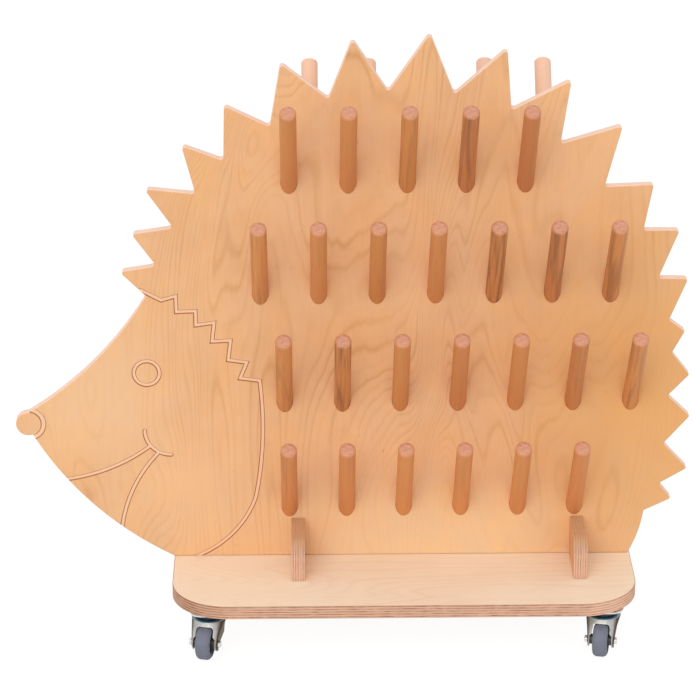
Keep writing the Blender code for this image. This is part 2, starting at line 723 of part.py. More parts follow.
def tyre_mesh():
    """The rubber tyre; a flat of its tread touches the floor."""
    inner = CORE_DIAMETER / 2 + FIT
    outer = WHEEL_DIAMETER / 2 / math.cos(math.pi / TYRE_STEPS)
    half = TYRE_WIDTH / 2
    middle = (outer - TYRE_SHOULDER, half - TYRE_SHOULDER)
    upper = [(inner, half)] + arc(middle, TYRE_SHOULDER, math.pi / 2, 0, TYRE_SHOULDER_STEPS)
    profile = upper + [(r, -z) for r, z in upper[::-1]]
    mesh = turned(profile, TYRE_STEPS, True)
    mesh.transform(Matrix.Rotation(math.pi / TYRE_STEPS, 4, "Z"))
    return smooth(mesh, 50)


def make_casters():
    """Each caster: the plate and race stay with the board, the fork swivels, the wheel turns in it."""
    left_inset, right_inset = CASTER_END_INSETS
    left, right = left_inset - BASE_LENGTH / 2, BASE_LENGTH / 2 - right_inset
    y = BASE_WIDTH / 2 - CASTER_SIDE_INSET
    still = (("mounting_plate", plate_mesh(), ZINC), ("ball_race", race_mesh(), RACE_STEEL))
    on_axle = (
        ("axle_bolt", axle_mesh(), ZINC),
        ("wheel_core", core_mesh(), CORE_PLASTIC),
        ("tyre", tyre_mesh(), RUBBER),
    )
    fork = fork_mesh()
    for corner, place in (
        ("front_left", (left, -y)), ("front_right", (right, -y)),
        ("rear_left", (left, y)), ("rear_right", (right, y)),
    ):
        top = (*place, CASTER_HEIGHT)
        name = corner + "_caster_"
        for piece, mesh, look in still:
            add_part(name + piece, mesh, look, top)
        swivel = Matrix.Translation(top) @ Matrix.Rotation(CASTER_REST_TURNS[corner], 4, "Z")
        add_part(name + "fork", fork, ZINC, top, swivel.to_euler())
        wheel = swivel @ axle_place()
        for piece, mesh, look in on_axle:
            add_part(name + piece, mesh, look, wheel.to_translation(), wheel.to_euler())


clear_scene()
PARTS = new_collection("rolling_boot_rack")
CUTTERS = new_collection("cutters")
RACK = bpy.data.objects.new("rack", None)
PARTS.objects.link(RACK)
RACK.location = (BASE_FROM_MIDDLE, 0, 0)
make_panel()
make_pegs()
make_base()
make_brackets()
make_casters()
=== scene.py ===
"""Looks of the rolling boot rack: plywood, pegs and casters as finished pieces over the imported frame.

Metres, in the frame of the CAD model: +Z up, the front towards -Y, the nose towards -X. Places along the
rack are measured from the middle of the base board, and heights on the panel from its lower edge.
"""

import json
import math
import random

import bmesh
import bpy
from mathutils import Matrix, Vector


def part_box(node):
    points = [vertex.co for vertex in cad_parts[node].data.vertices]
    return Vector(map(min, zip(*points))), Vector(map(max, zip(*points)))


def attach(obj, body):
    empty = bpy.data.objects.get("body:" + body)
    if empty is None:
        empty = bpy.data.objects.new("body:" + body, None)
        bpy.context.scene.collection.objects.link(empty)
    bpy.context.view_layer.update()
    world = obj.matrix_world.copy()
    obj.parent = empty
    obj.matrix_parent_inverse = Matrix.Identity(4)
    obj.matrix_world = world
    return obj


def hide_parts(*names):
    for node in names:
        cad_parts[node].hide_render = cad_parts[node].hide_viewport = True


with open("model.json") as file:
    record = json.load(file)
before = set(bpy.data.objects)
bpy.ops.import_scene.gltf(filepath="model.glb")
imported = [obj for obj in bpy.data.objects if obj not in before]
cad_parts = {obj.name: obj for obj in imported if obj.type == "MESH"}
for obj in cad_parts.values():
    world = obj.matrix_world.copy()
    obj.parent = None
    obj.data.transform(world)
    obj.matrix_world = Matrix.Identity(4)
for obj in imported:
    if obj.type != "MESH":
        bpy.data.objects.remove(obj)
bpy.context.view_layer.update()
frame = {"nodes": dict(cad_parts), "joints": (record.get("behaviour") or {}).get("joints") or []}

# Places taken from the frame
BASE_LOW, BASE_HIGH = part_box("base_board")
BASE_SIZE = BASE_HIGH - BASE_LOW
RACK_MIDDLE = (BASE_LOW.x + BASE_HIGH.x) / 2
PANEL_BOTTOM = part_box("hedgehog_panel")[0].z
JOINTS = {joint["name"]: joint for joint in frame["joints"]}
CORNERS = ("front_left", "front_right", "rear_left", "rear_right")

# Camera
CAMERA_PLACE = (-0.0625, -4.4055, 2.1745)
CAMERA_PITCH = math.radians(21.73)
CAMERA_YAW = math.radians(0.756)
CAMERA_ROLL = math.radians(0.115)
CAMERA_LENS_MM = 166.2
CAMERA_SENSOR_MM = 36.0
CAMERA_REACH = 100

# Light and floor
WORLD_LEVEL = 0.80
SUN_LEVEL = 1.1
SUN_ANGLE = math.radians(40)
SUN_HEADING = (0.20, 0.80, -0.60)
FLOOR_HALF_SIDE = 30
FLOOR_COLOUR = (0.80, 0.80, 0.80, 1)
FLOOR_SHADOW_COLOUR = (0.13, 0.13, 0.13, 1)
FLOOR_GLOW = 0.92

# Colours; pairs are light and dark veneer, long grain and end grain, clean and stained metal
PANEL_VENEER = ((0.880, 0.500, 0.245), (0.690, 0.342, 0.137))
PANEL_TINT = (0.96, 1.0, 1.12)
PANEL_PLY = ((0.97, 0.74, 0.62), (0.80, 0.50, 0.37))
ROUTED_WOOD = ((0.95, 0.63, 0.42), (0.87, 0.54, 0.34))
SCORCHED_WOOD = ((0.36, 0.125, 0.040), (0.52, 0.205, 0.078))
BOARD_VENEER = ((0.955, 0.810, 0.640), (0.860, 0.680, 0.500))
BOARD_PLY = ((0.82, 0.51, 0.35), (0.26, 0.105, 0.055))
BOARD_PLY_TOP = (0.40, 0.20, 0.10)
BRACKET_VENEER = ((0.780, 0.450, 0.240), (0.640, 0.330, 0.155))
BRACKET_PLY = ((0.82, 0.51, 0.36), (0.36, 0.17, 0.095))
# Painted shade: the brackets' tops are browner, as if shaded by the pegs above
BRACKET_PLY_SHADED_TOP = (0.60, 0.34, 0.155)
PEG_WOOD = ((0.700, 0.285, 0.088), (0.610, 0.215, 0.076))
PEG_END = ((0.76, 0.385, 0.265), (0.48, 0.19, 0.115))
PEG_STREAK = (0.24, 0.095, 0.045)
PEG_LIGHT = (0.92, 0.40, 0.140)
# Painted light: the rear pegs are made paler, as if brightly lit from above
REAR_PEG_PAINTED_LIGHT = (0.96, 0.66, 0.50)
BRIGHT_ZINC = ((0.80, 0.79, 0.76), (0.58, 0.56, 0.53))
PRESSED_ZINC = ((0.52, 0.51, 0.49), (0.38, 0.365, 0.34))
# Painted reflection: dark brown fork sides, as if they mirrored the shade under the rack
PRESSED_SIDES_PAINTED_REFLECTION = (0.10, 0.07, 0.045)
# Painted reflection: a pale blue crown rim, as if it mirrored the sky
PRESSED_TOP_PAINTED_REFLECTION = (0.34, 0.56, 0.68)
# Dark blued steel, made darker still as painted shade for the gap under the plate
BLUED_AND_SHADED_STEEL = ((0.05, 0.07, 0.10), (0.02, 0.025, 0.03))
TYRE_RUBBER = ((0.128, 0.134, 0.172), (0.215, 0.226, 0.285))
CORE_PLASTIC = ((0.030, 0.030, 0.033), (0.060, 0.060, 0.064))

# Painted light and shade on the panel, paler at cheek, jaw and foot, darker at the rump:
# centre, reach along each axis, strength and colour
PANEL_PAINTED_LIGHT_AND_SHADE = (
    ((-0.45, 0, 0.25), (0.17, 1, 0.17), 0.60, (0.91, 0.57, 0.30)),
    ((-0.33, 0, 0.08), (0.16, 1, 0.14), 0.28, (0.91, 0.57, 0.30)),
    ((0.05, 0, -0.02), (0.46, 1, 0.20), 0.75, (0.88, 0.61, 0.34)),
    ((0.36, 0, 0.28), (0.30, 1, 0.40), 0.80, (0.77, 0.387, 0.131)),
)

# Base board
BASE_CORNER_RADIUS = 0.085
BASE_EDGE_ROUND = 0.0010
BASE_PLIES = 10
# Painted shading on askew ply edges: shade at two board corners and bracket tops, light at the others
ASKEW_PAINTED_SHADING = 0.5

# Hedgehog panel: tips and valleys of the quills before rounding, from the rump over the back to the brow
PANEL_THICKNESS = 0.015
PANEL_EDGE_ROUND = 0.0018
VENEERED_ARRIS = 0.6
PANEL_PLIES = 11
QUILL_ROUND = 0.004
RUMP_FOOT_INSET = 0.003
RUMP_MIDDLE = (0.353, 0.033)
RUMP_TOP = (0.361, 0.069)
QUILL_TIPS = (
    (0.402, 0.089), (0.424, 0.138), (0.425, 0.222), (0.422, 0.288), (0.413, 0.357),
    (0.415, 0.439), (0.400, 0.514), (0.360, 0.584), (0.313, 0.673), (0.238, 0.741),
    (0.146, 0.788), (0.036, 0.811), (-0.074, 0.803), (-0.176, 0.768), (-0.257, 0.706),
    (-0.319, 0.647), (-0.374, 0.582), (-0.394, 0.513), (-0.413, 0.455),
)
QUILL_VALLEYS = (
    (0.382, 0.113), (0.387, 0.178), (0.391, 0.255), (0.395, 0.323), (0.389, 0.375),
    (0.371, 0.440), (0.347, 0.514), (0.289, 0.581), (0.224, 0.646), (0.153, 0.697),
    (0.071, 0.721), (-0.023, 0.725), (-0.108, 0.715), (-0.192, 0.674), (-0.259, 0.624),
    (-0.300, 0.574), (-0.333, 0.522), (-0.359, 0.464), (-0.375, 0.417),
)
FOREHEAD = (-0.434, 0.336)
NOSE_CENTRE = (-0.5534, 0.2164)
NOSE_RADIUS = 0.0183
NOSE_TOP_ANGLE = math.radians(88)
NOSE_FOOT_ANGLE = math.radians(290)
CHIN = (-0.4736, 0.099)

# Lines routed into the front of the panel
GROOVE_WIDTH = 0.0065
NOSE_GROOVE_WIDTH = 0.0080
GROOVE_DEPTH = 0.0018
GROOVE_WALL_RUN = 0.0012
GROOVE_DEPTH_STEP = 0.00005
NEARLY_FLAT = 0.9
EYE_CENTRE = (-0.3767, 0.2963)
EYE_RADIUS = 0.0188
CHEEK_ARC = ((-0.3817, 0.2047), (-0.3737, 0.1802), (-0.3433, 0.1656))
UPPER_LIP_ARC = ((-0.3737, 0.1802), (-0.4260, 0.1483), (-0.5100, 0.1260))
LOWER_LIP_ARC = ((-0.3617, 0.1693), (-0.4003, 0.1123), (-0.4200, 0.0400))
BACK_LINE_ARC = ((-0.2110, 0.2830), (-0.2075, 0.1900), (-0.2190, 0.0950))
BELLY_LINE_ARC = ((-0.2190, 0.0950), (-0.2460, 0.0460), (-0.3200, -0.0050))
HAIRLINE = (
    (-0.3850, 0.4277), (-0.3529, 0.4104), (-0.3317, 0.4166), (-0.3311, 0.3921), (-0.3033, 0.3932),
    (-0.3031, 0.3711), (-0.2763, 0.3748), (-0.2799, 0.3455), (-0.2527, 0.3467), (-0.2567, 0.3160),
    (-0.2295, 0.3119), (-0.2395, 0.2869), (-0.2110, 0.2830),
)

# Pegs: each row has its height on the panel, its first place and its pegs in front and behind
PEG_RADIUS = 0.0120
PEG_LENGTH = 0.1845
PEG_LEAN = math.radians(40)
PEG_PITCH = 0.085
PEG_TIP_ROUND = 0.008
PEG_TIP_DROP = 0.006
PEG_SEAT = 0.007
PEG_GAP = 0.0003
REAR_SHIFT = 0.0307
PEG_ROWS = (
    (0.592, -0.1653, 5, 5),
    (0.422, -0.2084, 7, 6),
    (0.252, -0.1743, 7, 6),
    (0.083, -0.1684, 6, 6),
)
PEG_SEED = 72317
PEG_LIGHTNESS_SPREAD = 0.6
# Painted light: the lowest row of pegs is made lighter, as if lit by the board below
LOWEST_ROW_PAINTED_LIGHT = 0.4

# Brackets between the base board and the panel
BRACKET_EDGE_ROUND = 0.0008
BRACKET_CORNER_RADIUS = 0.024
BRACKET_PLIES = 11

# Casters, from the top of the mounting plate down
CASTER_HEIGHT = 0.070
CASTER_TRAIL = 0.025
PLATE_SIDE = 0.056
PLATE_THICKNESS = 0.0025
PLATE_CORNER_RADIUS = 0.018
PLATE_EDGE_ROUND = 0.0005
SCREW_HOLE_INSET = 0.009
PLATE_SCREW_RADIUS = 0.0042
PLATE_SCREW_HEIGHT = 0.0020
BOARD_SCREW_RADIUS = 0.0045
BOARD_SCREW_HEIGHT = 0.0006
BOARD_SCREW_PITCH = 0.150
BOARD_SCREWS_IN_LINE = 4
SCREW_SLOT_WIDTH = 0.0010
SLOT_LENGTH_TO_RADIUS = 1.1
SLOT_FLOOR_TO_HEIGHT = 0.45
RACE_DIAMETER = 0.042
RACE_WIDTH = 0.007
RACE_HEIGHT = 0.0095
PIN_DIAMETER = 0.008
PIN_HEAD_DIAMETER = 0.014
PIN_HEAD_HEIGHT = 0.003
FIT = 0.0003
TURNING_CLEARANCE = 0.0004
WHEEL_SIDE_CLEARANCE = 0.0005
FORK_SHEET = 0.0022
FORK_CROWN_DIAMETER = 0.051
FORK_SHOULDER_ABOVE_AXLE = 0.018
FORK_SHOULDER_WIDTH = 0.0432
FORK_SHOULDER_AHEAD = 0.006
FORK_SHOULDER_BEHIND = 0.042
FORK_SHOULDER_CORNER = 0.012
FORK_SKIRT_ABOVE_AXLE = 0.003
FORK_SKIRT_BEHIND = 0.041
FORK_FOOT_WIDTH = 0.0384
FORK_FOOT_RADIUS = 0.011
FORK_FOOT_BEHIND = 0.027
FORK_FOOT_CORNER = 0.005
FORK_CROWN_ROUND = 0.0020
FORK_ARCH_DROP = 0.004
FORK_ARCH_RADIUS = 0.006
FORK_TO_TYRE = 0.002
FLANGE_END_ABOVE_AXLE = 0.009
FLANGE_END_RISE = 0.004
FLANGE_LEFT_BELOW = 0.0008
FORK_EDGE_ROUND = 0.0004
WHEEL_DIAMETER = 0.050
TYRE_WIDTH = 0.022
TYRE_SHOULDER = 0.007
TYRE_LINE_DEPTH = 0.0003
TYRE_LINE_HALF_WIDTH = 0.0004
TYRE_LINE_OFFSET = 0.0068
CORE_DIAMETER = 0.036
CORE_RIM_WIDTH = 0.019
CORE_RIM_WALL = 0.0035
CORE_WEB_WIDTH = 0.008
CORE_EDGE_ROUND = 0.0005
CORE_RIBS = 6
CORE_RIB_WIDTH = 0.0016
HUB_DIAMETER = 0.015
AXLE_DIAMETER = 0.006
HEX_SIDES = 6
HEX_ACROSS_FLATS = 0.010
HEX_HEIGHT = 0.004
HEX_EDGE_ROUND = 0.0004
AXLE_END_PAST_NUT = 0.001

# Heights on a caster that follow from the sizes above
AXLE_DROP = CASTER_HEIGHT - WHEEL_DIAMETER / 2
RACE_TOP = -PLATE_THICKNESS - FIT
CROWN_TOP = RACE_TOP - RACE_HEIGHT - FIT
CROWN_BOTTOM = CROWN_TOP - FORK_SHEET
CHEEK_INNER = FORK_FOOT_WIDTH / 2 - FORK_SHEET

# Fineness of the round shapes
QUILL_STEPS = 8
PROFILE_STEPS = 40
NOSE_STEPS = 48
CORNER_STEPS = 12
EDGE_STEPS = 4
RING_STEPS = 64
PEG_STEPS = 48
TIP_STEPS = 8
WHEEL_STEPS = 96
SMALL_STEPS = 32
FORK_STEPS = 10
LARGE_FLAT_AREA = 0.0004
SHARP_ANGLE = math.radians(40)
BEVEL_ANGLE = math.radians(35)
BEVEL_SEGMENTS = 2
SOFT_CORNER_STEPS = 3


def point_on_circle(centre, radius, angle):
    return (centre[0] + radius * math.cos(angle), centre[1] + radius * math.sin(angle))


def arc(centre, radius, start, end, steps):
    turn = (end - start) / steps
    return [point_on_circle(centre, radius, start + turn * i) for i in range(steps + 1)]


def circle(centre, radius, steps):
    return arc(centre, radius, 0, 2 * math.pi, steps)[:-1]


def arc_through(first, middle, last, steps):
    """Points from first to last on the circle that also passes middle."""
    ax, ay = first
    bx, by = middle[0] - ax, middle[1] - ay
    cx, cy = last[0] - ax, last[1] - ay
    scale = 2 * (bx * cy - by * cx)
    ux = (cy * (bx * bx + by * by) - by * (cx * cx + cy * cy)) / scale
    uy = (bx * (cx * cx + cy * cy) - cx * (bx * bx + by * by)) / scale
    start = math.atan2(-uy, -ux)
    to_middle = (math.atan2(by - uy, bx - ux) - start) % (2 * math.pi)
    sweep = (math.atan2(cy - uy, cx - ux) - start) % (2 * math.pi)
    if to_middle > sweep:
        sweep -= 2 * math.pi
    return arc((ax + ux, ay + uy), math.hypot(ux, uy), start, start + sweep, steps)


def rounded_corner(before, corner, after, radius, steps):
    """The arc that replaces a corner, never longer than half of the shorter side."""
    ax, ay = before[0] - corner[0], before[1] - corner[1]
    bx, by = after[0] - corner[0], after[1] - corner[1]
    a, b = math.hypot(ax, ay), math.hypot(bx, by)
    half = math.acos((ax * bx + ay * by) / (a * b)) / 2
    reach = min(radius / math.tan(half), a / 2, b / 2)
    start = (corner[0] + ax / a * reach, corner[1] + ay / a * reach)
    end = (corner[0] + bx / b * reach, corner[1] + by / b * reach)
    mx, my = ax / a + bx / b, ay / a + by / b
    depth = (reach / math.cos(half) - reach * math.tan(half)) / math.hypot(mx, my)
    return arc_through(start, (corner[0] + mx * depth, corner[1] + my * depth), end, steps)


def rounded_rectangle(length, width, radius, steps):
    x, y = length / 2 - radius, width / 2 - radius
    points = []
    for cx, cy, quarter in ((x, y, 0), (-x, y, 1), (-x, -y, 2), (x, -y, 3)):
        start = quarter * math.pi / 2
        points += arc((cx, cy), radius, start, start + math.pi / 2, steps)
    return points


def heading(start, end):
    return math.atan2(end[1] - start[1], end[0] - start[0])


def beside(point, before, after, distance):
    """A place to the left of a path where it turns from one heading to another."""
    bend = (after - before + math.pi) % (2 * math.pi) - math.pi
    return point_on_circle(point, distance / math.cos(bend / 2), before + bend / 2 + math.pi / 2)


def inset(points, distance):
    """A closed anticlockwise outline drawn in by a distance."""
    result = []
    for i, point in enumerate(points):
        after = points[(i + 1) % len(points)]
        result.append(beside(point, heading(points[i - 1], point), heading(point, after), distance))
    return result


def mesh_of(work, name):
    mesh = bpy.data.meshes.new(name)
    bmesh.ops.recalc_face_normals(work, faces=work.faces)
    work.to_mesh(mesh)
    work.free()
    mesh.shade_smooth()
    return mesh


def loft(name, rings):
    """A closed solid through rings of points; the end faces have material 0 and the sides material 1."""
    work = bmesh.new()
    loops = [[work.verts.new(point) for point in ring] for ring in rings]
    for lower, upper in zip(loops, loops[1:]):
        for i in range(len(lower)):
            work.faces.new((lower[i - 1], lower[i], upper[i], upper[i - 1])).material_index = 1
    work.faces.new(loops[0][::-1])
    work.faces.new(loops[-1])
    return mesh_of(work, name)


def board(name, outline, thickness, edge_round):
    """A flat board about z = 0 with rounded edges."""
    levels = []
    for i in range(EDGE_STEPS + 1):
        angle = math.pi / 2 * i / EDGE_STEPS
        height = thickness / 2 - edge_round * (1 - math.sin(angle))
        levels.append((edge_round * (1 - math.cos(angle)), height))
    rings = []
    for sign, half in ((-1, levels[::-1]), (1, levels)):
        for distance, height in half:
            rings.append([(x, y, sign * height) for x, y in inset(outline, distance)])
    return loft(name, rings)


def prism(name, outline, *heights):
    return loft(name, [[(x, y, z) for x, y in outline] for z in heights])


def rod(radius, bottom, top, steps):
    return prism("rod", circle((0, 0), radius, steps), bottom, top)


def upright(mesh):
    """Turns a flat solid so that its outline's second coordinate becomes height and it faces -Y."""
    mesh.transform(Matrix.Rotation(math.pi / 2, 4, "X"))
    return mesh


def turned(name, profile, steps, closed):
    """A profile of radius and height turned about Z; an open one starts and ends on the axis."""
    work = bmesh.new()
    columns = []
    for i in range(steps):
        angle = 2 * math.pi * i / steps
        columns.append([
            work.verts.new((r * math.cos(angle), r * math.sin(angle), z)) if r > 0 else None
            for r, z in profile
        ])
    poles = [work.verts.new((0, 0, z)) if r <= 0 else None for r, z in profile]
    last = len(profile) if closed else len(profile) - 1
    for i in range(steps):
        for j in range(last):
            k = (j + 1) % len(profile)
            ring = []
            for column, row in ((i - 1, j), (i, j), (i, k), (i - 1, k)):
                vertex = poles[row] or columns[column][row]
                if vertex not in ring:
                    ring.append(vertex)
            work.faces.new(ring)
    return mesh_of(work, name)


def softened(profile, radius):
    """A closed profile of radius and height with its corners rounded."""
    points = []
    for i, corner in enumerate(profile):
        after = profile[(i + 1) % len(profile)]
        points += rounded_corner(profile[i - 1], corner, after, radius, SOFT_CORNER_STEPS)
    return points


def holder(name, data):
    obj = bpy.data.objects.new(name, data)
    bpy.context.scene.collection.objects.link(obj)
    return obj


def baked(obj):
    """The mesh of an object with its modifiers applied; the object goes."""
    bpy.context.view_layer.update()
    graph = bpy.context.evaluated_depsgraph_get()
    mesh = bpy.data.meshes.new_from_object(obj.evaluated_get(graph))
    bpy.data.objects.remove(obj)
    return mesh


def combined(mesh, tools, operation="DIFFERENCE"):
    """A mesh after each tool mesh is cut from it or joined to it; a tool's faces keep its material."""
    target = holder("target", mesh)
    holders = []
    for tool in tools:
        cutter = holder("tool", tool)
        modifier = target.modifiers.new("tool", "BOOLEAN")
        modifier.operation = operation
        modifier.solver = "EXACT"
        modifier.material_mode = "TRANSFER"
        modifier.object = cutter
        holders.append(cutter)
    result = baked(target)
    for cutter in holders:
        bpy.data.objects.remove(cutter)
    return result


def rounded_edges(mesh, width):
    """A mesh with its sharp edges bevelled a little."""
    obj = holder("rounded", mesh)
    bevel = obj.modifiers.new("edges", "BEVEL")
    bevel.width = width
    bevel.segments = BEVEL_SEGMENTS
    bevel.limit_method = "ANGLE"
    bevel.angle_limit = BEVEL_ANGLE
    return baked(obj)


def joined(name, parts):
    """One mesh out of several, each with its place."""
    work = bmesh.new()
    for mesh, place in parts:
        copy = mesh.copy()
        copy.transform(place)
        work.from_mesh(copy)
        bpy.data.meshes.remove(copy)
    return mesh_of(work, name)


def piece(name, mesh, materials, body, place=Matrix.Identity(4), node=None):
    """A visible piece that rides on a body and may stand for a CAD node; empty material slots go first."""
    for i in range(len(mesh.materials) - 1, -1, -1):
        if mesh.materials[i] is None:
            mesh.materials.pop(index=i)
    for material in materials:
        mesh.materials.append(material)
    mesh.set_sharp_from_angle(angle=SHARP_ANGLE)
    for face in mesh.polygons:
        if face.area > LARGE_FLAT_AREA:
            face.use_smooth = False
    obj = holder(name, mesh)
    obj.matrix_world = place
    weights = obj.modifiers.new("normals", "WEIGHTED_NORMAL")
    weights.keep_sharp = True
    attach(obj, body)
    if node:
        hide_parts(node)
    return obj


class Look:
    """A node material or world in the making: each call adds a node and gives its result."""

    def __init__(self, name, kind="materials", shader="Principled BSDF"):
        self.owner = getattr(bpy.data, kind).new(name)
        self.owner.use_nodes = True
        self.tree = self.owner.node_tree
        self.shader = self.tree.nodes[shader]

    def put(self, socket, value):
        if isinstance(value, bpy.types.NodeSocket):
            self.tree.links.new(value, socket)
        else:
            socket.default_value = value

    def node(self, kind, inputs=None, **settings):
        """A new node, with values or links for some of its inputs."""
        made = self.tree.nodes.new("ShaderNode" + kind)
        for key, value in settings.items():
            setattr(made, key, value)
        for key, value in (inputs or {}).items():
            self.put(made.inputs[key], value)
        return made

    def place(self, scale=(1, 1, 1), shift=(0, 0, 0)):
        """Object coordinates, stretched and shifted."""
        own = self.node("TexCoord").outputs["Object"]
        made = self.node("Mapping", {"Vector": own, "Scale": scale, "Location": shift})
        return made.outputs["Vector"]

    def split(self, source):
        """The three parts of the object coordinates or of the normal."""
        return self.node("SeparateXYZ", {"Vector": self.node("TexCoord").outputs[source]}).outputs

    def noise(self, vector, scale, detail=2.0, roughness=0.5, distortion=0.0):
        inputs = {"Vector": vector, "Scale": scale, "Detail": detail}
        inputs.update({"Roughness": roughness, "Distortion": distortion})
        return self.node("TexNoise", inputs).outputs["Fac"]

    def math(self, operation, *values):
        return self.node("Math", dict(enumerate(values)), operation=operation).outputs[0]

    def total(self, *terms, start=0.0):
        """The sum of values, each with its weight."""
        for value, weight in terms:
            start = self.math("MULTIPLY_ADD", value, weight, start)
        return start

    def seen(self):
        """One for rays that see the studio, from the camera or by reflection, and zero for its light."""
        path = self.node("LightPath")
        return self.math("MAXIMUM", path.outputs["Is Camera Ray"], path.outputs["Is Glossy Ray"])

    def ramp(self, factor, *stops, smooth=False):
        """A grey ramp through (position, value) stops."""
        made = self.node("ValToRGB")
        elements = made.color_ramp.elements
        made.color_ramp.interpolation = "EASE" if smooth else "LINEAR"
        while len(elements) < len(stops):
            elements.new(0.5)
        for element, (position, value) in zip(elements, stops):
            element.position = position
            element.color = (value, value, value, 1)
        self.put(made.inputs["Fac"], factor)
        return made.outputs["Color"]

    def mix(self, factor, first, second, blend="MIX"):
        made = self.node("Mix", data_type="RGBA", blend_type=blend)
        self.put(made.inputs[0], factor)
        for socket, value in ((made.inputs[6], first), (made.inputs[7], second)):
            self.put(socket, (*value, 1) if isinstance(value, tuple) else value)
        return made.outputs[2]

    def bump(self, height, strength, distance):
        made = self.node("Bump", {"Height": height, "Strength": strength, "Distance": distance})
        self.put(self.shader.inputs["Normal"], made.outputs["Normal"])

    def finish(self, colour, roughness, metallic=0.0, specular=0.5):
        self.put(self.shader.inputs["Base Color"], colour)
        self.put(self.shader.inputs["Roughness"], roughness)
        self.shader.inputs["Metallic"].default_value = metallic
        self.shader.inputs["Specular IOR Level"].default_value = specular
        return self.owner


def veneer(name, light, dark, along, shift, drift, wander, painted_patches=(), tint=(1.0, 1.0, 1.0)):
    """Rotary-cut birch: ring lines that run along the grain and loop where the log was uneven.

    Drift is how many rings there are to a metre across the grain, and wander how far they stray. Soft
    patches of painted light and shade change the colour, and a tint comes and goes.
    """
    look = Look(name)

    def grain(share):
        stretch = Vector((1, 1, 1))
        stretch["XYZ".index(along)] = share
        return look.place(stretch, shift)

    hills = look.noise(grain(0.32), 4.2, 2.0, 0.40, 0.6)
    ripple = look.noise(grain(0.10), 26.0, 2.0, 0.5)
    across = look.split("Object")["X" if along == "Z" else "Y"]
    level = look.total((across, drift), (hills, wander), (ripple, 2.2))
    stops = ((0.0, 0.40), (0.12, 0.0), (0.60, 0.16), (0.88, 1.0), (1.0, 0.40))
    lines = look.ramp(look.math("FRACT", level), *stops, smooth=True)
    strong = look.ramp(look.noise(grain(1), 6.0, 2.0), (0.30, 0.25), (0.65, 1.0))
    uneven = look.ramp(look.noise(level, 0.45, 1.0), (0.36, 0.10), (0.64, 1.0))
    lines = look.math("MULTIPLY", look.math("MULTIPLY", lines, uneven), strong)
    fibres = look.noise(grain(0.03), 620.0, 3.0, 0.6)
    clouds = look.noise(grain(1), 5.5, 4.0, 0.70)
    flecks = look.ramp(look.noise(grain(0.30), 300.0, 1.0), (0.735, 0.0), (0.80, 0.55))
    zones = look.ramp(look.noise(grain(1), 9.0, 1.0), (0.56, 0.0), (0.68, 1.0))
    shade = look.total((lines, 0.66), (fibres, 0.36), (clouds, 1.15), start=-0.48)
    colour = look.mix(shade, light, dark)
    # Painted light and shade: soft patches that make the veneer paler or darker
    for centre, reach, strength, spot_colour in painted_patches:
        shares = [1 / length for length in reach]
        start = [-place * share for place, share in zip(centre, shares)]
        spot = look.node("VectorMath", {0: look.place(shares, start)}, operation="LENGTH")
        near = look.ramp(spot.outputs["Value"], (0.0, strength), (1.0, 0.0), smooth=True)
        colour = look.mix(near, colour, spot_colour)
    tone = look.noise(look.place((1, 1, 0.6), shift), 14.0, 4.0, 0.70)
    colour = look.mix(look.ramp(tone, (0.38, 0.0), (0.62, 1.0)), colour, tint, "MULTIPLY")
    fleck_colour = tuple(0.62 * channel for channel in dark)
    colour = look.mix(look.math("MULTIPLY", flecks, zones), colour, fleck_colour)
    look.bump(fibres, 0.10, 0.0004)
    return look.finish(colour, look.ramp(fibres, (0.3, 0.46), (0.7, 0.60)), specular=0.22)


def ply_edge(name, across, thickness, plies, light, dark, askew_painted_shading=0.0, top=None):
    """The plies of a cut edge: long grain and end grain in turn, with thin glue lines.

    Where the edge turns askew, painted shade darkens it on one diagonal and painted light lightens it
    on the other. What faces up can take another colour: painted shade on the tops of the brackets, and a
    darker top rounding on the board.
    """
    look = Look(name)
    wobble = look.math("SUBTRACT", look.noise(look.place(), 34.0, 3.0), 0.5)
    height = look.math("ADD", look.split("Object")[across], thickness / 2)
    level = look.total((height, plies / thickness), (wobble, 0.80))
    pairs = look.math("FRACT", look.math("MULTIPLY", level, 0.5))
    end_grain = look.ramp(pairs, (0.48, 0.0), (0.62, 1.0), (0.86, 1.0), (0.98, 0.0))
    glue = look.ramp(look.math("PINGPONG", level, 0.5), (0.0, 1.0), (0.16, 0.0))
    squeeze = Vector((1, 1, 1)) * 0.12
    squeeze["XYZ".index(across)] = 1.0
    dashes = look.ramp(look.noise(look.place(squeeze), 420.0, 3.0, 0.6), (0.38, 0.0), (0.68, 1.0))
    patches = look.noise(look.place(), 60.0, 2.0)
    end_grain = look.math("MULTIPLY", end_grain, look.math("MULTIPLY_ADD", dashes, 0.55, 0.22))
    normal = look.split("Normal")
    # Painted shading: darker on one diagonal of an askew edge, lighter on the other
    askew = look.math("MULTIPLY", *[normal[axis] for axis in "XYZ" if axis != across])
    shade = look.total((glue, 0.30), (patches, 0.35), (askew, askew_painted_shading), (end_grain, 1.0), start=0.01)
    look.bump(shade, 0.2, 0.0003)
    colour = look.mix(shade, light, dark)
    # Painted shade on the brackets' tops; on the board only the top rounding is darker
    if top:
        upward = look.ramp(normal["Z"], (0.45, 0.0), (0.85, 0.65))
        colour = look.mix(upward, colour, top)
    return look.finish(colour, 0.66, specular=0.2)


def groove_wood():
    """Freshly routed wood at the bottom of the drawn lines."""
    look = Look("routed_line")
    fibres = look.noise(look.place((1, 1, 0.05)), 700.0, 3.0, 0.6)
    zones = look.noise(look.place(), 40.0, 2.0)
    shade = look.total((fibres, 0.5), (zones, 0.5))
    look.bump(fibres, 0.3, 0.0004)
    return look.finish(look.mix(shade, *ROUTED_WOOD), 0.65, specular=0.2)


def groove_wall():
    """The scorched sides of the routed lines."""
    look = Look("routed_wall")
    scorch = look.noise(look.place(), 160.0, 3.0, 0.6)
    return look.finish(look.mix(scorch, *SCORCHED_WOOD), 0.7, specular=0.1)


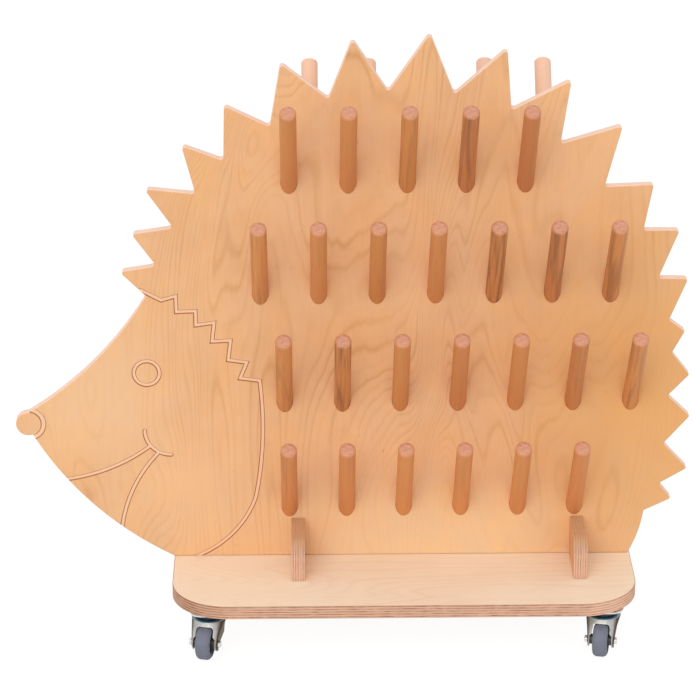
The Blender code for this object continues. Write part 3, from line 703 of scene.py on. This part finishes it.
def peg_wood():
    """Oiled beech: streaks along the peg, pinkish end grain on its tip.

    The peg's tint is its object's colour: red for lightness, with painted light added on the lowest row,
    green for redness, blue for streaks and alpha for the painted light that makes the rear pegs paler.
    """
    look = Look("oiled_beech")
    info = look.node("ObjectInfo")
    lightness, redness, streaks = look.node("SeparateColor", {0: info.outputs["Color"]}).outputs
    x, y = look.math("MULTIPLY", lightness, 3.0), look.math("MULTIPLY", redness, 5.0)
    own = look.node("CombineXYZ", {"X": x, "Y": y}).outputs[0]
    moved = look.node("VectorMath", {0: look.place((1, 1, 0.045)), 1: own}, operation="ADD")
    vector = moved.outputs["Vector"]
    broad = look.noise(vector, 120.0, 2.0, 0.5, 0.7)
    fine = look.noise(vector, 480.0, 3.0, 0.65)
    lines = look.ramp(broad, (0.46, 0.0), (0.66, 1.0))
    lines = look.math("MULTIPLY", lines, look.math("MULTIPLY_ADD", streaks, 0.85, 0.08))
    shade = look.total((lines, 1.0), (fine, 0.26))
    colour = look.mix(shade, look.mix(redness, *PEG_WOOD), PEG_STREAK)
    colour = look.mix(look.math("MULTIPLY", lightness, 0.45), colour, PEG_LIGHT)
    rays = look.noise(look.place((1, 0.15, 1)), 1300.0, 2.0, 0.6)
    rings = look.noise(look.place((0.3, 1, 1)), 380.0, 1.0, 0.5, 0.5)
    grain = look.ramp(look.total((rays, 0.55), (rings, 0.65)), (0.38, 0.0), (0.85, 1.0))
    tip = look.ramp(look.split("Normal")["Z"], (0.10, 0.0), (1.0, 0.88))
    colour = look.mix(tip, colour, look.mix(grain, *PEG_END))
    # Painted light: paler rear pegs
    colour = look.mix(look.math("MULTIPLY", info.outputs["Alpha"], 0.72), colour, REAR_PEG_PAINTED_LIGHT)
    look.bump(fine, 0.12, 0.0003)
    return look.finish(colour, look.ramp(fine, (0.3, 0.44), (0.7, 0.58)), specular=0.28)


def zinc(name, colour, stain, roughness, sides=None, top=None):
    """Plated steel: fine brushing and cloudy stains, with painted reflections on its sides and its top."""
    look = Look(name)
    clouds = look.noise(look.place(), 90.0, 3.0, 0.6, 0.4)
    brushing = look.noise(look.place((1, 1, 0.06)), 1800.0, 2.0, 0.6)
    stains_and_painted_reflections = look.mix(look.ramp(clouds, (0.35, 0.0), (0.75, 1.0)), colour, stain)
    normal = look.split("Normal")
    # Painted reflection: darker sides, as if they mirrored the shade under the rack
    if sides:
        facing = look.ramp(look.math("ABSOLUTE", normal["X"]), (0.55, 0.0), (0.80, 1.0))
        stains_and_painted_reflections = look.mix(facing, stains_and_painted_reflections, sides)
    # Painted reflection: a pale blue top, as if it mirrored the sky
    if top:
        facing = look.ramp(normal["Z"], (0.50, 0.0), (0.75, 0.85))
        stains_and_painted_reflections = look.mix(facing, stains_and_painted_reflections, top)
    look.bump(brushing, 0.06, 0.0002)
    return look.finish(stains_and_painted_reflections, look.total((brushing, 0.16), start=roughness), metallic=1.0)


def rubber():
    """Grey tyre rubber with a dusty bloom and fine mould texture."""
    look = Look("tyre_rubber")
    dust = look.noise(look.place(), 55.0, 4.0, 0.6)
    grain = look.noise(look.place(), 2600.0, 2.0, 0.6)
    colour = look.mix(look.total((dust, 0.8), (grain, 0.3)), *TYRE_RUBBER)
    look.bump(grain, 0.12, 0.0002)
    return look.finish(colour, look.ramp(dust, (0.3, 0.50), (0.7, 0.68)), specular=0.25)


def plastic():
    """Dark moulded plastic of the wheel core."""
    look = Look("wheel_core_plastic")
    flow = look.noise(look.place(), 70.0, 3.0, 0.55)
    grain = look.noise(look.place(), 3200.0, 2.0)
    look.bump(grain, 0.1, 0.0001)
    return look.finish(look.mix(flow, *CORE_PLASTIC), look.ramp(flow, (0.3, 0.40), (0.7, 0.52)))


def panel_outline():
    """The hedgehog's edge, anticlockwise as seen from the front."""
    half = BASE_SIZE.x / 2
    rump = arc_through((half - RUMP_FOOT_INSET, 0), RUMP_MIDDLE, RUMP_TOP, CORNER_STEPS)
    corners = [RUMP_TOP]
    for tip, valley in zip(QUILL_TIPS, QUILL_VALLEYS):
        corners += [tip, valley]
    quills = []
    for before, corner, after in zip(corners, corners[1:], corners[2:]):
        quills += rounded_corner(before, corner, after, QUILL_ROUND, QUILL_STEPS)
    nose_top = point_on_circle(NOSE_CENTRE, NOSE_RADIUS, NOSE_TOP_ANGLE)
    nose_foot = point_on_circle(NOSE_CENTRE, NOSE_RADIUS, NOSE_FOOT_ANGLE)
    brow = arc_through(corners[-1], FOREHEAD, nose_top, PROFILE_STEPS)
    nose = arc(NOSE_CENTRE, NOSE_RADIUS, NOSE_TOP_ANGLE, NOSE_FOOT_ANGLE, NOSE_STEPS)
    chin = arc_through(nose_foot, CHIN, (-half, 0), PROFILE_STEPS)
    return rump + quills + brow[:-1] + nose + chin[1:]


def band(path, width, round_ends):
    """The outline of a line of this width along a path, with square or round ends."""
    left, right = [], []
    headings = [heading(start, end) for start, end in zip(path, path[1:])]
    for point, before, after in zip(path, headings[:1] + headings, headings + headings[-1:]):
        left.append(beside(point, before, after, width / 2))
        right.append(beside(point, before, after, -width / 2))
    if not round_ends:
        return right + left[::-1]
    caps = []
    for before, end in ((path[-2], path[-1]), (path[1], path[0])):
        ahead = heading(before, end)
        caps.append(arc(end, width / 2, ahead - math.pi / 2, ahead + math.pi / 2, CORNER_STEPS))
    return right[1:-1] + caps[0] + left[-2:0:-1] + caps[1]


def groove_cutters():
    """Cutters for the routed lines, lying flat with the panel's face at z = 0.

    A bit with sloping sides leaves a flat bottom, material 0, and slanted walls, material 1. Each line
    is a little shallower than the one before it, so that no two bottoms are flush where lines meet.
    """
    cutters = []
    nose_line = NOSE_RADIUS + FIT + NOSE_GROOVE_WIDTH / 2
    rings = ((EYE_CENTRE, EYE_RADIUS, GROOVE_WIDTH), (NOSE_CENTRE, nose_line, NOSE_GROOVE_WIDTH))
    for centre, radius, width in rings:
        low, high = width / 2 - GROOVE_WALL_RUN, width / 2 + GROOVE_WALL_RUN
        profile = [(radius + low, -GROOVE_DEPTH), (radius + high, GROOVE_DEPTH)]
        profile += [(radius - high, GROOVE_DEPTH), (radius - low, -GROOVE_DEPTH)]
        ring = turned("ring_groove", profile, 2 * RING_STEPS, True)
        ring.transform(Matrix.Translation((*centre, 0)))
        cutters.append(ring)
    back = arc_through(*BACK_LINE_ARC, PROFILE_STEPS)
    belly = arc_through(*BELLY_LINE_ARC, PROFILE_STEPS)
    lines = [(list(HAIRLINE) + back[1:] + belly[1:], False)]
    for points in (CHEEK_ARC, UPPER_LIP_ARC, LOWER_LIP_ARC):
        lines.append((arc_through(*points, PROFILE_STEPS), True))
    low, high = GROOVE_WIDTH / 2 - GROOVE_WALL_RUN, GROOVE_WIDTH / 2 + GROOVE_WALL_RUN
    for i, (path, round_ends) in enumerate(lines):
        depth = GROOVE_DEPTH - GROOVE_DEPTH_STEP * i
        levels = []
        for reach, height in ((low, -depth), (high, depth)):
            levels.append([(x, y, height) for x, y in band(path, 2 * reach, round_ends)])
        cutters.append(loft("line_groove", levels))
    for cutter in cutters:
        for face in cutter.polygons:
            face.material_index = 0 if abs(face.normal.z) > NEARLY_FLAT else 1
    return cutters


def peg_mesh(radius, seat):
    """A peg along Z from the panel's face, cut off inside the wood parallel to that face."""
    profile = [(0, PEG_LENGTH)]
    for i in range(TIP_STEPS + 1):
        angle = math.pi / 2 * i / TIP_STEPS
        across = radius - PEG_TIP_ROUND * (1 - math.sin(angle))
        profile.append((across, PEG_LENGTH - PEG_TIP_DROP * (1 - math.cos(angle))))
    profile += [(radius, 0), (0, 0)]
    mesh = turned("peg", profile, PEG_STEPS, False)
    for vertex in mesh.vertices:
        if vertex.co.z < PEG_LENGTH / 2:
            vertex.co.z = (vertex.co.y * math.cos(PEG_LEAN) - seat) / math.sin(PEG_LEAN)
    return mesh


def peg_places():
    """The name of each peg with its place on the panel; the rear ones are turned about."""
    places = {}
    lean = Matrix.Rotation(PEG_LEAN, 4, "X")
    for side, face, about, shift in (("front", -1, 0, 0), ("rear", 1, math.pi, REAR_SHIFT)):
        turn = Matrix.Rotation(about, 4, "Z")
        for row, (height, first, in_front, behind) in enumerate(PEG_ROWS, 1):
            for i in range(behind if side == "rear" else in_front):
                at = (first + i * PEG_PITCH + shift, face * PANEL_THICKNESS / 2, height)
                places[f"{side}_peg_row{row}_{i + 1}"] = Matrix.Translation(at) @ turn @ lean
    return places


def make_panel(on_panel):
    """The panel with peg seats and routed lines; the face veneer reaches a little round its edges."""
    bottom, wall = groove_wood(), groove_wall()
    face = veneer(
        "panel_veneer", *PANEL_VENEER, along="Z", shift=(0.31, 0.0, 0.12), drift=45, wander=60,
        painted_patches=PANEL_PAINTED_LIGHT_AND_SHADE, tint=PANEL_TINT)
    edge = ply_edge("panel_edge", "Y", PANEL_THICKNESS, PANEL_PLIES, *PANEL_PLY)
    seat = peg_mesh(PEG_RADIUS + PEG_GAP, PEG_SEAT + PEG_GAP)
    cutters = [joined("peg_seats", [(seat, place) for place in peg_places().values()])]
    for cutter in groove_cutters():
        upright(cutter)
        cutter.transform(Matrix.Translation((0, -PANEL_THICKNESS / 2, 0)))
        cutters.append(cutter)
    for cutter in cutters:
        cutter.materials.append(bottom)
        cutter.materials.append(wall)
    mesh = upright(board("hedgehog", panel_outline(), PANEL_THICKNESS, PANEL_EDGE_ROUND))
    mesh.materials.append(face)
    mesh.materials.append(edge)
    for polygon in mesh.polygons:
        if polygon.center.z < PANEL_EDGE_ROUND or abs(polygon.normal.y) > VENEERED_ARRIS:
            polygon.material_index = 0
    mesh = combined(mesh, cutters)
    piece("hedgehog", mesh, (), "rack", on_panel, "hedgehog_panel")


def make_pegs(on_panel):
    """All the pegs; the rear ones of the lower rows are one with the panel in the CAD model."""
    mesh = peg_mesh(PEG_RADIUS, PEG_SEAT)
    look = peg_wood()
    chance = random.Random(PEG_SEED)
    for name, place in peg_places().items():
        node = name if name in frame["nodes"] else None
        peg = piece("beech_" + name, mesh.copy(), (look,), "rack", on_panel @ place, node)
        lightness = chance.uniform(0.0, PEG_LIGHTNESS_SPREAD)
        # Painted light: the lowest row is made lighter, as if lit from the board below
        if "row4" in name:
            lightness += LOWEST_ROW_PAINTED_LIGHT
        redness, streaks = chance.random(), chance.random() ** 2
        # The alpha marks the rear pegs for painted light
        peg.color = (lightness, redness, streaks, 1.0 if name.startswith("rear") else 0.0)


def make_base():
    top = veneer("board_veneer", *BOARD_VENEER, along="X", shift=(0.0, 0.7, 0.2), drift=60, wander=40)
    edge = ply_edge(
        "board_edge", "Z", BASE_SIZE.z, BASE_PLIES, *BOARD_PLY, ASKEW_PAINTED_SHADING, BOARD_PLY_TOP)
    outline = rounded_rectangle(BASE_SIZE.x, BASE_SIZE.y, BASE_CORNER_RADIUS, 2 * CORNER_STEPS)
    mesh = board("board", outline, BASE_SIZE.z, BASE_EDGE_ROUND)
    place = Matrix.Translation((BASE_LOW + BASE_HIGH) / 2)
    piece("board", mesh, (top, edge), "rack", place, "base_board")


def make_brackets():
    """Blocks on edge: the outline runs away from the panel in its first axis and up in its second."""
    low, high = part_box("front_left_bracket")
    thickness, depth, height = high - low
    side = veneer(
        "bracket_veneer", *BRACKET_VENEER, along="X", shift=(0.2, 0.1, 0.5), drift=60, wander=40)
    edge = ply_edge(
        "bracket_edge", "Y", thickness, BRACKET_PLIES, *BRACKET_PLY, ASKEW_PAINTED_SHADING, BRACKET_PLY_SHADED_TOP)
    foot, corner, back = (depth, 0), (depth, height), (0, height)
    outline = [(0, 0), foot]
    outline += rounded_corner(foot, corner, back, BRACKET_CORNER_RADIUS, CORNER_STEPS)
    outline.append(back)
    block = upright(board("bracket", outline, thickness, BRACKET_EDGE_ROUND))
    for corner in CORNERS:
        node = corner + "_bracket"
        low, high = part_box(node)
        inner, turn = (high.y, -math.pi / 2) if corner.startswith("front") else (low.y, math.pi / 2)
        stand = Matrix.Translation(((low.x + high.x) / 2, inner, low.z))
        place = stand @ Matrix.Rotation(turn, 4, "Z")
        piece("ply_" + node, block.copy(), (side, edge), "rack", place, node)


def screw_mesh(radius, height):
    """A screw head pointing down, with a cross recess."""
    profile = [(0, 0), (radius, 0), (radius, -height / 3)]
    for i in range(1, TIP_STEPS):
        angle = math.pi / 2 * i / TIP_STEPS
        profile.append((radius * math.cos(angle), -height / 3 - height * 2 / 3 * math.sin(angle)))
    profile.append((0, -height))
    head = turned("screw", profile, SMALL_STEPS, False)
    slots = []
    for turn in (0, math.pi / 2):
        length = SLOT_LENGTH_TO_RADIUS * radius
        outline = rounded_rectangle(length, SCREW_SLOT_WIDTH, SCREW_SLOT_WIDTH / 3, 2)
        slot = prism("slot", outline, -height * 2, -height * SLOT_FLOOR_TO_HEIGHT)
        slot.transform(Matrix.Rotation(turn, 4, "Z"))
        slots.append(slot)
    return combined(head, slots)


def plate_mesh():
    """The mounting plate with its swivel pin, from the plate's top down."""
    outline = rounded_rectangle(PLATE_SIDE, PLATE_SIDE, PLATE_CORNER_RADIUS, CORNER_STEPS)
    plate = board("plate", outline, PLATE_THICKNESS, PLATE_EDGE_ROUND)
    plate.transform(Matrix.Translation((0, 0, -PLATE_THICKNESS / 2)))
    head_top = CROWN_BOTTOM - FIT
    profile = [
        (0, -PLATE_THICKNESS / 2),
        (PIN_DIAMETER / 2, -PLATE_THICKNESS / 2),
        (PIN_DIAMETER / 2, head_top),
        (PIN_HEAD_DIAMETER / 2, head_top),
        (PIN_HEAD_DIAMETER / 2, head_top - PIN_HEAD_HEIGHT / 2),
        (PIN_DIAMETER / 2, head_top - PIN_HEAD_HEIGHT),
        (0, head_top - PIN_HEAD_HEIGHT),
    ]
    return combined(plate, [turned("pin", profile, SMALL_STEPS, False)], "UNION")


def race_mesh():
    """The ball race: a ring of round section under the plate."""
    middle = (RACE_DIAMETER - RACE_WIDTH) / 2
    height = RACE_TOP - RACE_HEIGHT / 2
    profile = []
    for x, y in circle((0, 0), 0.5, SMALL_STEPS):
        profile.append((middle + RACE_WIDTH * x, height - RACE_HEIGHT * y))
    return turned("race", profile, RING_STEPS, True)


def fork_section(wall, width, ahead, behind, corner):
    """One level of the fork: a rounded oblong that reaches ahead of the axle and behind it."""
    depth = ahead + behind - 2 * wall
    radius = min(corner - wall, depth / 3)
    middle = (behind - ahead) / 2 - CASTER_TRAIL
    outline = rounded_rectangle(width - 2 * wall, depth, radius, FORK_STEPS)
    return [(x, y + middle) for x, y in outline]


def fork_crown(inward):
    """The round crown about the swivel, with as many points as the lower levels."""
    steps = 4 * (FORK_STEPS + 1)
    turn = 2 * math.pi / steps
    return arc((0, 0), FORK_CROWN_DIAMETER / 2 - inward, turn / 2, 2 * math.pi - turn / 2, steps - 1)


def fork_loft(wall, top, outside):
    """A closed loft from the round crown to the foot about the axle, drawn in by a wall's thickness."""
    shoulder = fork_section(
        wall, FORK_SHOULDER_WIDTH, FORK_SHOULDER_AHEAD, FORK_SHOULDER_BEHIND, FORK_SHOULDER_CORNER)
    skirt = fork_section(wall, FORK_FOOT_WIDTH, FORK_FOOT_RADIUS, FORK_SKIRT_BEHIND, FORK_FOOT_CORNER)
    foot = fork_section(wall, FORK_FOOT_WIDTH, FORK_FOOT_RADIUS, FORK_FOOT_BEHIND, FORK_FOOT_CORNER)
    levels = [(top, fork_crown(wall))]
    if outside:
        levels = []
        for i in range(TIP_STEPS + 1):
            angle = math.pi / 2 * i / TIP_STEPS
            drop = FORK_CROWN_ROUND * (1 - math.cos(angle))
            levels.append((top - drop, fork_crown(FORK_CROWN_ROUND * (1 - math.sin(angle)))))
    levels.append((FORK_SHOULDER_ABOVE_AXLE - AXLE_DROP, shoulder))
    levels.append((FORK_SKIRT_ABOVE_AXLE - AXLE_DROP, skirt))
    levels.append((-AXLE_DROP, foot))
    for i in range(1, FORK_STEPS + 1):
        angle = math.pi / 2 * i / (FORK_STEPS + 0.5)
        reach = FORK_FOOT_RADIUS * math.cos(angle)
        if outside:
            section = fork_section(wall, FORK_FOOT_WIDTH, reach, reach, FORK_FOOT_CORNER)
            levels.append((-AXLE_DROP - FORK_FOOT_RADIUS * math.sin(angle), section))
        else:
            levels.append((-AXLE_DROP - FORK_FOOT_RADIUS * i, foot))
    return loft("fork", [[(x, y, z) for x, y in points] for z, points in levels[::-1]])


def axle_place():
    """From a piece turned about Z at its origin to its place on the fork's axle."""
    return Matrix.Translation((0, -CASTER_TRAIL, -AXLE_DROP)) @ Matrix.Rotation(math.pi / 2, 4, "Y")


def fork_mesh():
    """The pressed fork: a thin shell under the crown, open for the wheel in front and behind."""
    arch_half = TYRE_WIDTH / 2 + FORK_TO_TYRE
    arch_top = CROWN_BOTTOM - FORK_ARCH_DROP
    below = -2 * CASTER_HEIGHT
    foot_half = CHEEK_INNER - FLANGE_LEFT_BELOW
    flange_end = FLANGE_END_ABOVE_AXLE - AXLE_DROP
    narrow = flange_end + FLANGE_END_RISE
    left, right = (-arch_half, arch_top), (arch_half, arch_top)
    outline = [(-foot_half, below), (foot_half, below), (foot_half, flange_end), (arch_half, narrow)]
    outline += rounded_corner(outline[-1], right, left, FORK_ARCH_RADIUS, CORNER_STEPS)
    outline += rounded_corner(right, left, (-arch_half, narrow), FORK_ARCH_RADIUS, CORNER_STEPS)
    outline += [(-arch_half, narrow), (-foot_half, flange_end)]
    reach = 2 * FORK_CROWN_DIAMETER
    arch = upright(prism("arch", outline, -reach, reach))
    axle_hole = rod(AXLE_DIAMETER / 2 + FIT, -FORK_FOOT_WIDTH, FORK_FOOT_WIDTH, SMALL_STEPS)
    axle_hole.transform(axle_place())
    pin_radius = PIN_DIAMETER / 2 + TURNING_CLEARANCE
    pin_hole = rod(pin_radius, CROWN_BOTTOM - FIT, CROWN_TOP + FIT, SMALL_STEPS)
    shell = fork_loft(0, CROWN_TOP, True)
    hollow = fork_loft(FORK_SHEET, CROWN_BOTTOM, False)
    return rounded_edges(combined(shell, [hollow, arch, axle_hole, pin_hole]), FORK_EDGE_ROUND)


def axle_mesh():
    """The axle bolt with its hexagonal head and nut."""
    seat = FORK_FOOT_WIDTH / 2 + FIT
    end = seat + HEX_HEIGHT
    hex_radius = HEX_ACROSS_FLATS / 2 / math.cos(math.pi / HEX_SIDES)
    bolt = rod(AXLE_DIAMETER / 2, -end - AXLE_END_PAST_NUT, end - HEX_HEIGHT / 2, SMALL_STEPS)
    tools = [rod(hex_radius, seat, end, HEX_SIDES), rod(hex_radius, -end, -seat, HEX_SIDES)]
    return rounded_edges(combined(bolt, tools, "UNION"), HEX_EDGE_ROUND)


def core_mesh():
    """The wheel core: hub, web and rim in one turned piece, with ribs from hub to rim."""
    bore = AXLE_DIAMETER / 2 + TURNING_CLEARANCE
    hub, rim = HUB_DIAMETER / 2, CORE_DIAMETER / 2
    hollow = rim - CORE_RIM_WALL
    hub_end = CHEEK_INNER - WHEEL_SIDE_CLEARANCE
    half = [(bore, hub_end), (hub, hub_end), (hub, CORE_WEB_WIDTH / 2), (hollow, CORE_WEB_WIDTH / 2),
            (hollow, CORE_RIM_WIDTH / 2), (rim, CORE_RIM_WIDTH / 2)]
    profile = softened(half + [(r, -z) for r, z in half[::-1]], CORE_EDGE_ROUND)
    core = turned("core", profile, RING_STEPS, True)
    middle = (hub + hollow) / 2
    length = hollow - hub + CORE_RIM_WALL / 2
    outline = rounded_rectangle(length, CORE_RIB_WIDTH, CORE_RIB_WIDTH / 4, 2)
    top = CORE_RIM_WIDTH / 2 - 2 * CORE_EDGE_ROUND
    rib = prism("rib", [(x + middle, y) for x, y in outline], -top, top)
    turns = [Matrix.Rotation(2 * math.pi * i / CORE_RIBS, 4, "Z") for i in range(CORE_RIBS)]
    return combined(core, [joined("ribs", [(rib, turn) for turn in turns])], "UNION")


def tyre_mesh():
    """The rubber tyre, with a fine moulding line near each shoulder."""
    inner, outer = CORE_DIAMETER / 2 + FIT, WHEEL_DIAMETER / 2
    half = TYRE_WIDTH / 2
    middle = (outer - TYRE_SHOULDER, half - TYRE_SHOULDER)
    upper = [(inner, half)]
    for r, z in arc(middle, TYRE_SHOULDER, math.pi / 2, 0, 3 * TIP_STEPS):
        sunk = TYRE_LINE_DEPTH if abs(z - TYRE_LINE_OFFSET) < TYRE_LINE_HALF_WIDTH else 0
        upper.append((r - sunk, z))
    profile = upper + [(r, -z) for r, z in upper[::-1]]
    return turned("tyre", profile, WHEEL_STEPS, True)


def make_casters(bright):
    """Each caster: the plate and race stay with the board, the fork swivels, the wheel turns in it."""
    pressed = zinc("pressed_zinc", *PRESSED_ZINC, roughness=0.42, sides=PRESSED_SIDES_PAINTED_REFLECTION, top=PRESSED_TOP_PAINTED_REFLECTION)
    # The race is blued steel with painted shade: near black, like the shaded gap above the fork
    blued_and_shaded = zinc("blued_race", *BLUED_AND_SHADED_STEEL, roughness=0.30)
    meshes = {
        "mounting_plate": (plate_mesh(), bright, "zinc_steel"),
        "ball_race": (race_mesh(), blued_and_shaded, "race_steel"),
        "fork": (fork_mesh(), pressed, "zinc_steel"),
        "axle_bolt": (axle_mesh(), bright, "zinc_steel"),
        "wheel_core": (core_mesh(), plastic(), "wheel_core"),
        "tyre": (tyre_mesh(), rubber(), "tyre_rubber"),
    }
    screw = screw_mesh(PLATE_SCREW_RADIUS, PLATE_SCREW_HEIGHT)
    inset_from_middle = PLATE_SIDE / 2 - SCREW_HOLE_INSET
    for corner in CORNERS:
        swivel, spin = JOINTS[corner + "_swivel_turn"], JOINTS[corner + "_wheel_spin"]
        top = Matrix.Translation(swivel["pos_m"])
        fork = top @ Matrix.Rotation(math.atan2(spin["axis"][1], spin["axis"][0]), 4, "Z")
        axle = fork @ axle_place()
        places = {
            "mounting_plate": ("rack", top),
            "ball_race": ("rack", top),
            "fork": (corner + "_swivel", fork),
            "axle_bolt": (corner + "_swivel", axle),
            "wheel_core": (corner + "_wheel", axle),
            "tyre": (corner + "_wheel", axle),
        }
        for kind, (body, place) in places.items():
            mesh, look, slot = meshes[kind]
            node = f"{corner}_caster_{kind}"
            piece(f"{corner}_{kind}", mesh.copy(), (look, look), body, place, node)
        for i, (x, y) in enumerate(((1, 1), (-1, 1), (-1, -1), (1, -1)), 1):
            shift = Vector((x * inset_from_middle, y * inset_from_middle, -PLATE_THICKNESS))
            place = top @ Matrix.Translation(shift)
            name = f"{corner}_plate_screw_{i}"
            piece(name, screw.copy(), (bright, bright), "rack", place)


def make_board_screws(bright):
    """Screws from below that hold panel and brackets, their heads almost flush with the board."""
    head = screw_mesh(BOARD_SCREW_RADIUS, BOARD_SCREW_HEIGHT)
    first = RACK_MIDDLE - (BOARD_SCREWS_IN_LINE - 1) / 2 * BOARD_SCREW_PITCH
    places = [(first + i * BOARD_SCREW_PITCH, 0.0) for i in range(BOARD_SCREWS_IN_LINE)]
    for corner in CORNERS:
        low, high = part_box(corner + "_bracket")
        places.append(((low.x + high.x) / 2, (low.y + high.y) / 2))
    for i, (x, y) in enumerate(places, 1):
        place = Matrix.Translation((x, y, BASE_LOW.z))
        piece(f"board_screw_{i}", head.copy(), (bright, bright), "rack", place)


def make_floor():
    """A white floor that fills the view; it is seen bright, with only a faint shadow of the rack."""
    work = bmesh.new()
    bmesh.ops.create_grid(work, x_segments=1, y_segments=1, size=FLOOR_HALF_SIDE)
    floor = holder("floor", mesh_of(work, "floor"))
    look = Look("white_floor")
    look.tree.nodes.remove(look.shader)
    plain = look.node("BsdfDiffuse", {"Color": FLOOR_COLOUR})
    faint = look.node("BsdfDiffuse", {"Color": FLOOR_SHADOW_COLOUR})
    glow = look.node("Emission", {"Strength": FLOOR_GLOW})
    bright = look.node("AddShader", {0: faint.outputs[0], 1: glow.outputs[0]})
    seen = look.node("MixShader", {0: look.seen(), 1: plain.outputs[0], 2: bright.outputs[0]})
    look.put(look.tree.nodes["Material Output"].inputs["Surface"], seen.outputs[0])
    floor.data.materials.append(look.owner)


def make_world():
    """An even white studio; the camera sees it as white."""
    look = Look("studio", "worlds", "Background")
    bpy.context.scene.world = look.owner
    level = look.node("MapRange", {"Value": look.seen(), "To Min": WORLD_LEVEL, "To Max": 1.0})
    look.put(look.shader.inputs["Color"], (1, 1, 1, 1))
    look.put(look.shader.inputs["Strength"], level.outputs[0])


def make_sun():
    """A soft key light from the upper left in front."""
    data = bpy.data.lights.new("key", "SUN")
    data.energy = SUN_LEVEL
    data.angle = SUN_ANGLE
    lamp = holder("key", data)
    lamp.rotation_euler = Vector(SUN_HEADING).to_track_quat("-Z", "Y").to_euler()


def make_camera():
    data = bpy.data.cameras.new("camera")
    data.lens = CAMERA_LENS_MM
    data.sensor_width = CAMERA_SENSOR_MM
    data.clip_end = CAMERA_REACH
    camera = holder("camera", data)
    camera.matrix_world = (
        Matrix.Translation(CAMERA_PLACE)
        @ Matrix.Rotation(-CAMERA_YAW, 4, "Z")
        @ Matrix.Rotation(math.pi / 2 - CAMERA_PITCH, 4, "X")
        @ Matrix.Rotation(-CAMERA_ROLL, 4, "Z")
    )
    bpy.context.scene.camera = camera


bpy.context.scene.view_settings.view_transform = "Standard"
PANEL_PLACE = Matrix.Translation((RACK_MIDDLE, 0, PANEL_BOTTOM))
make_camera()
make_world()
make_floor()
make_sun()
make_panel(PANEL_PLACE)
make_pegs(PANEL_PLACE)
make_base()
make_brackets()
zinc_look = zinc("bright_zinc", *BRIGHT_ZINC, roughness=0.22)
make_casters(zinc_look)
make_board_screws(zinc_look)
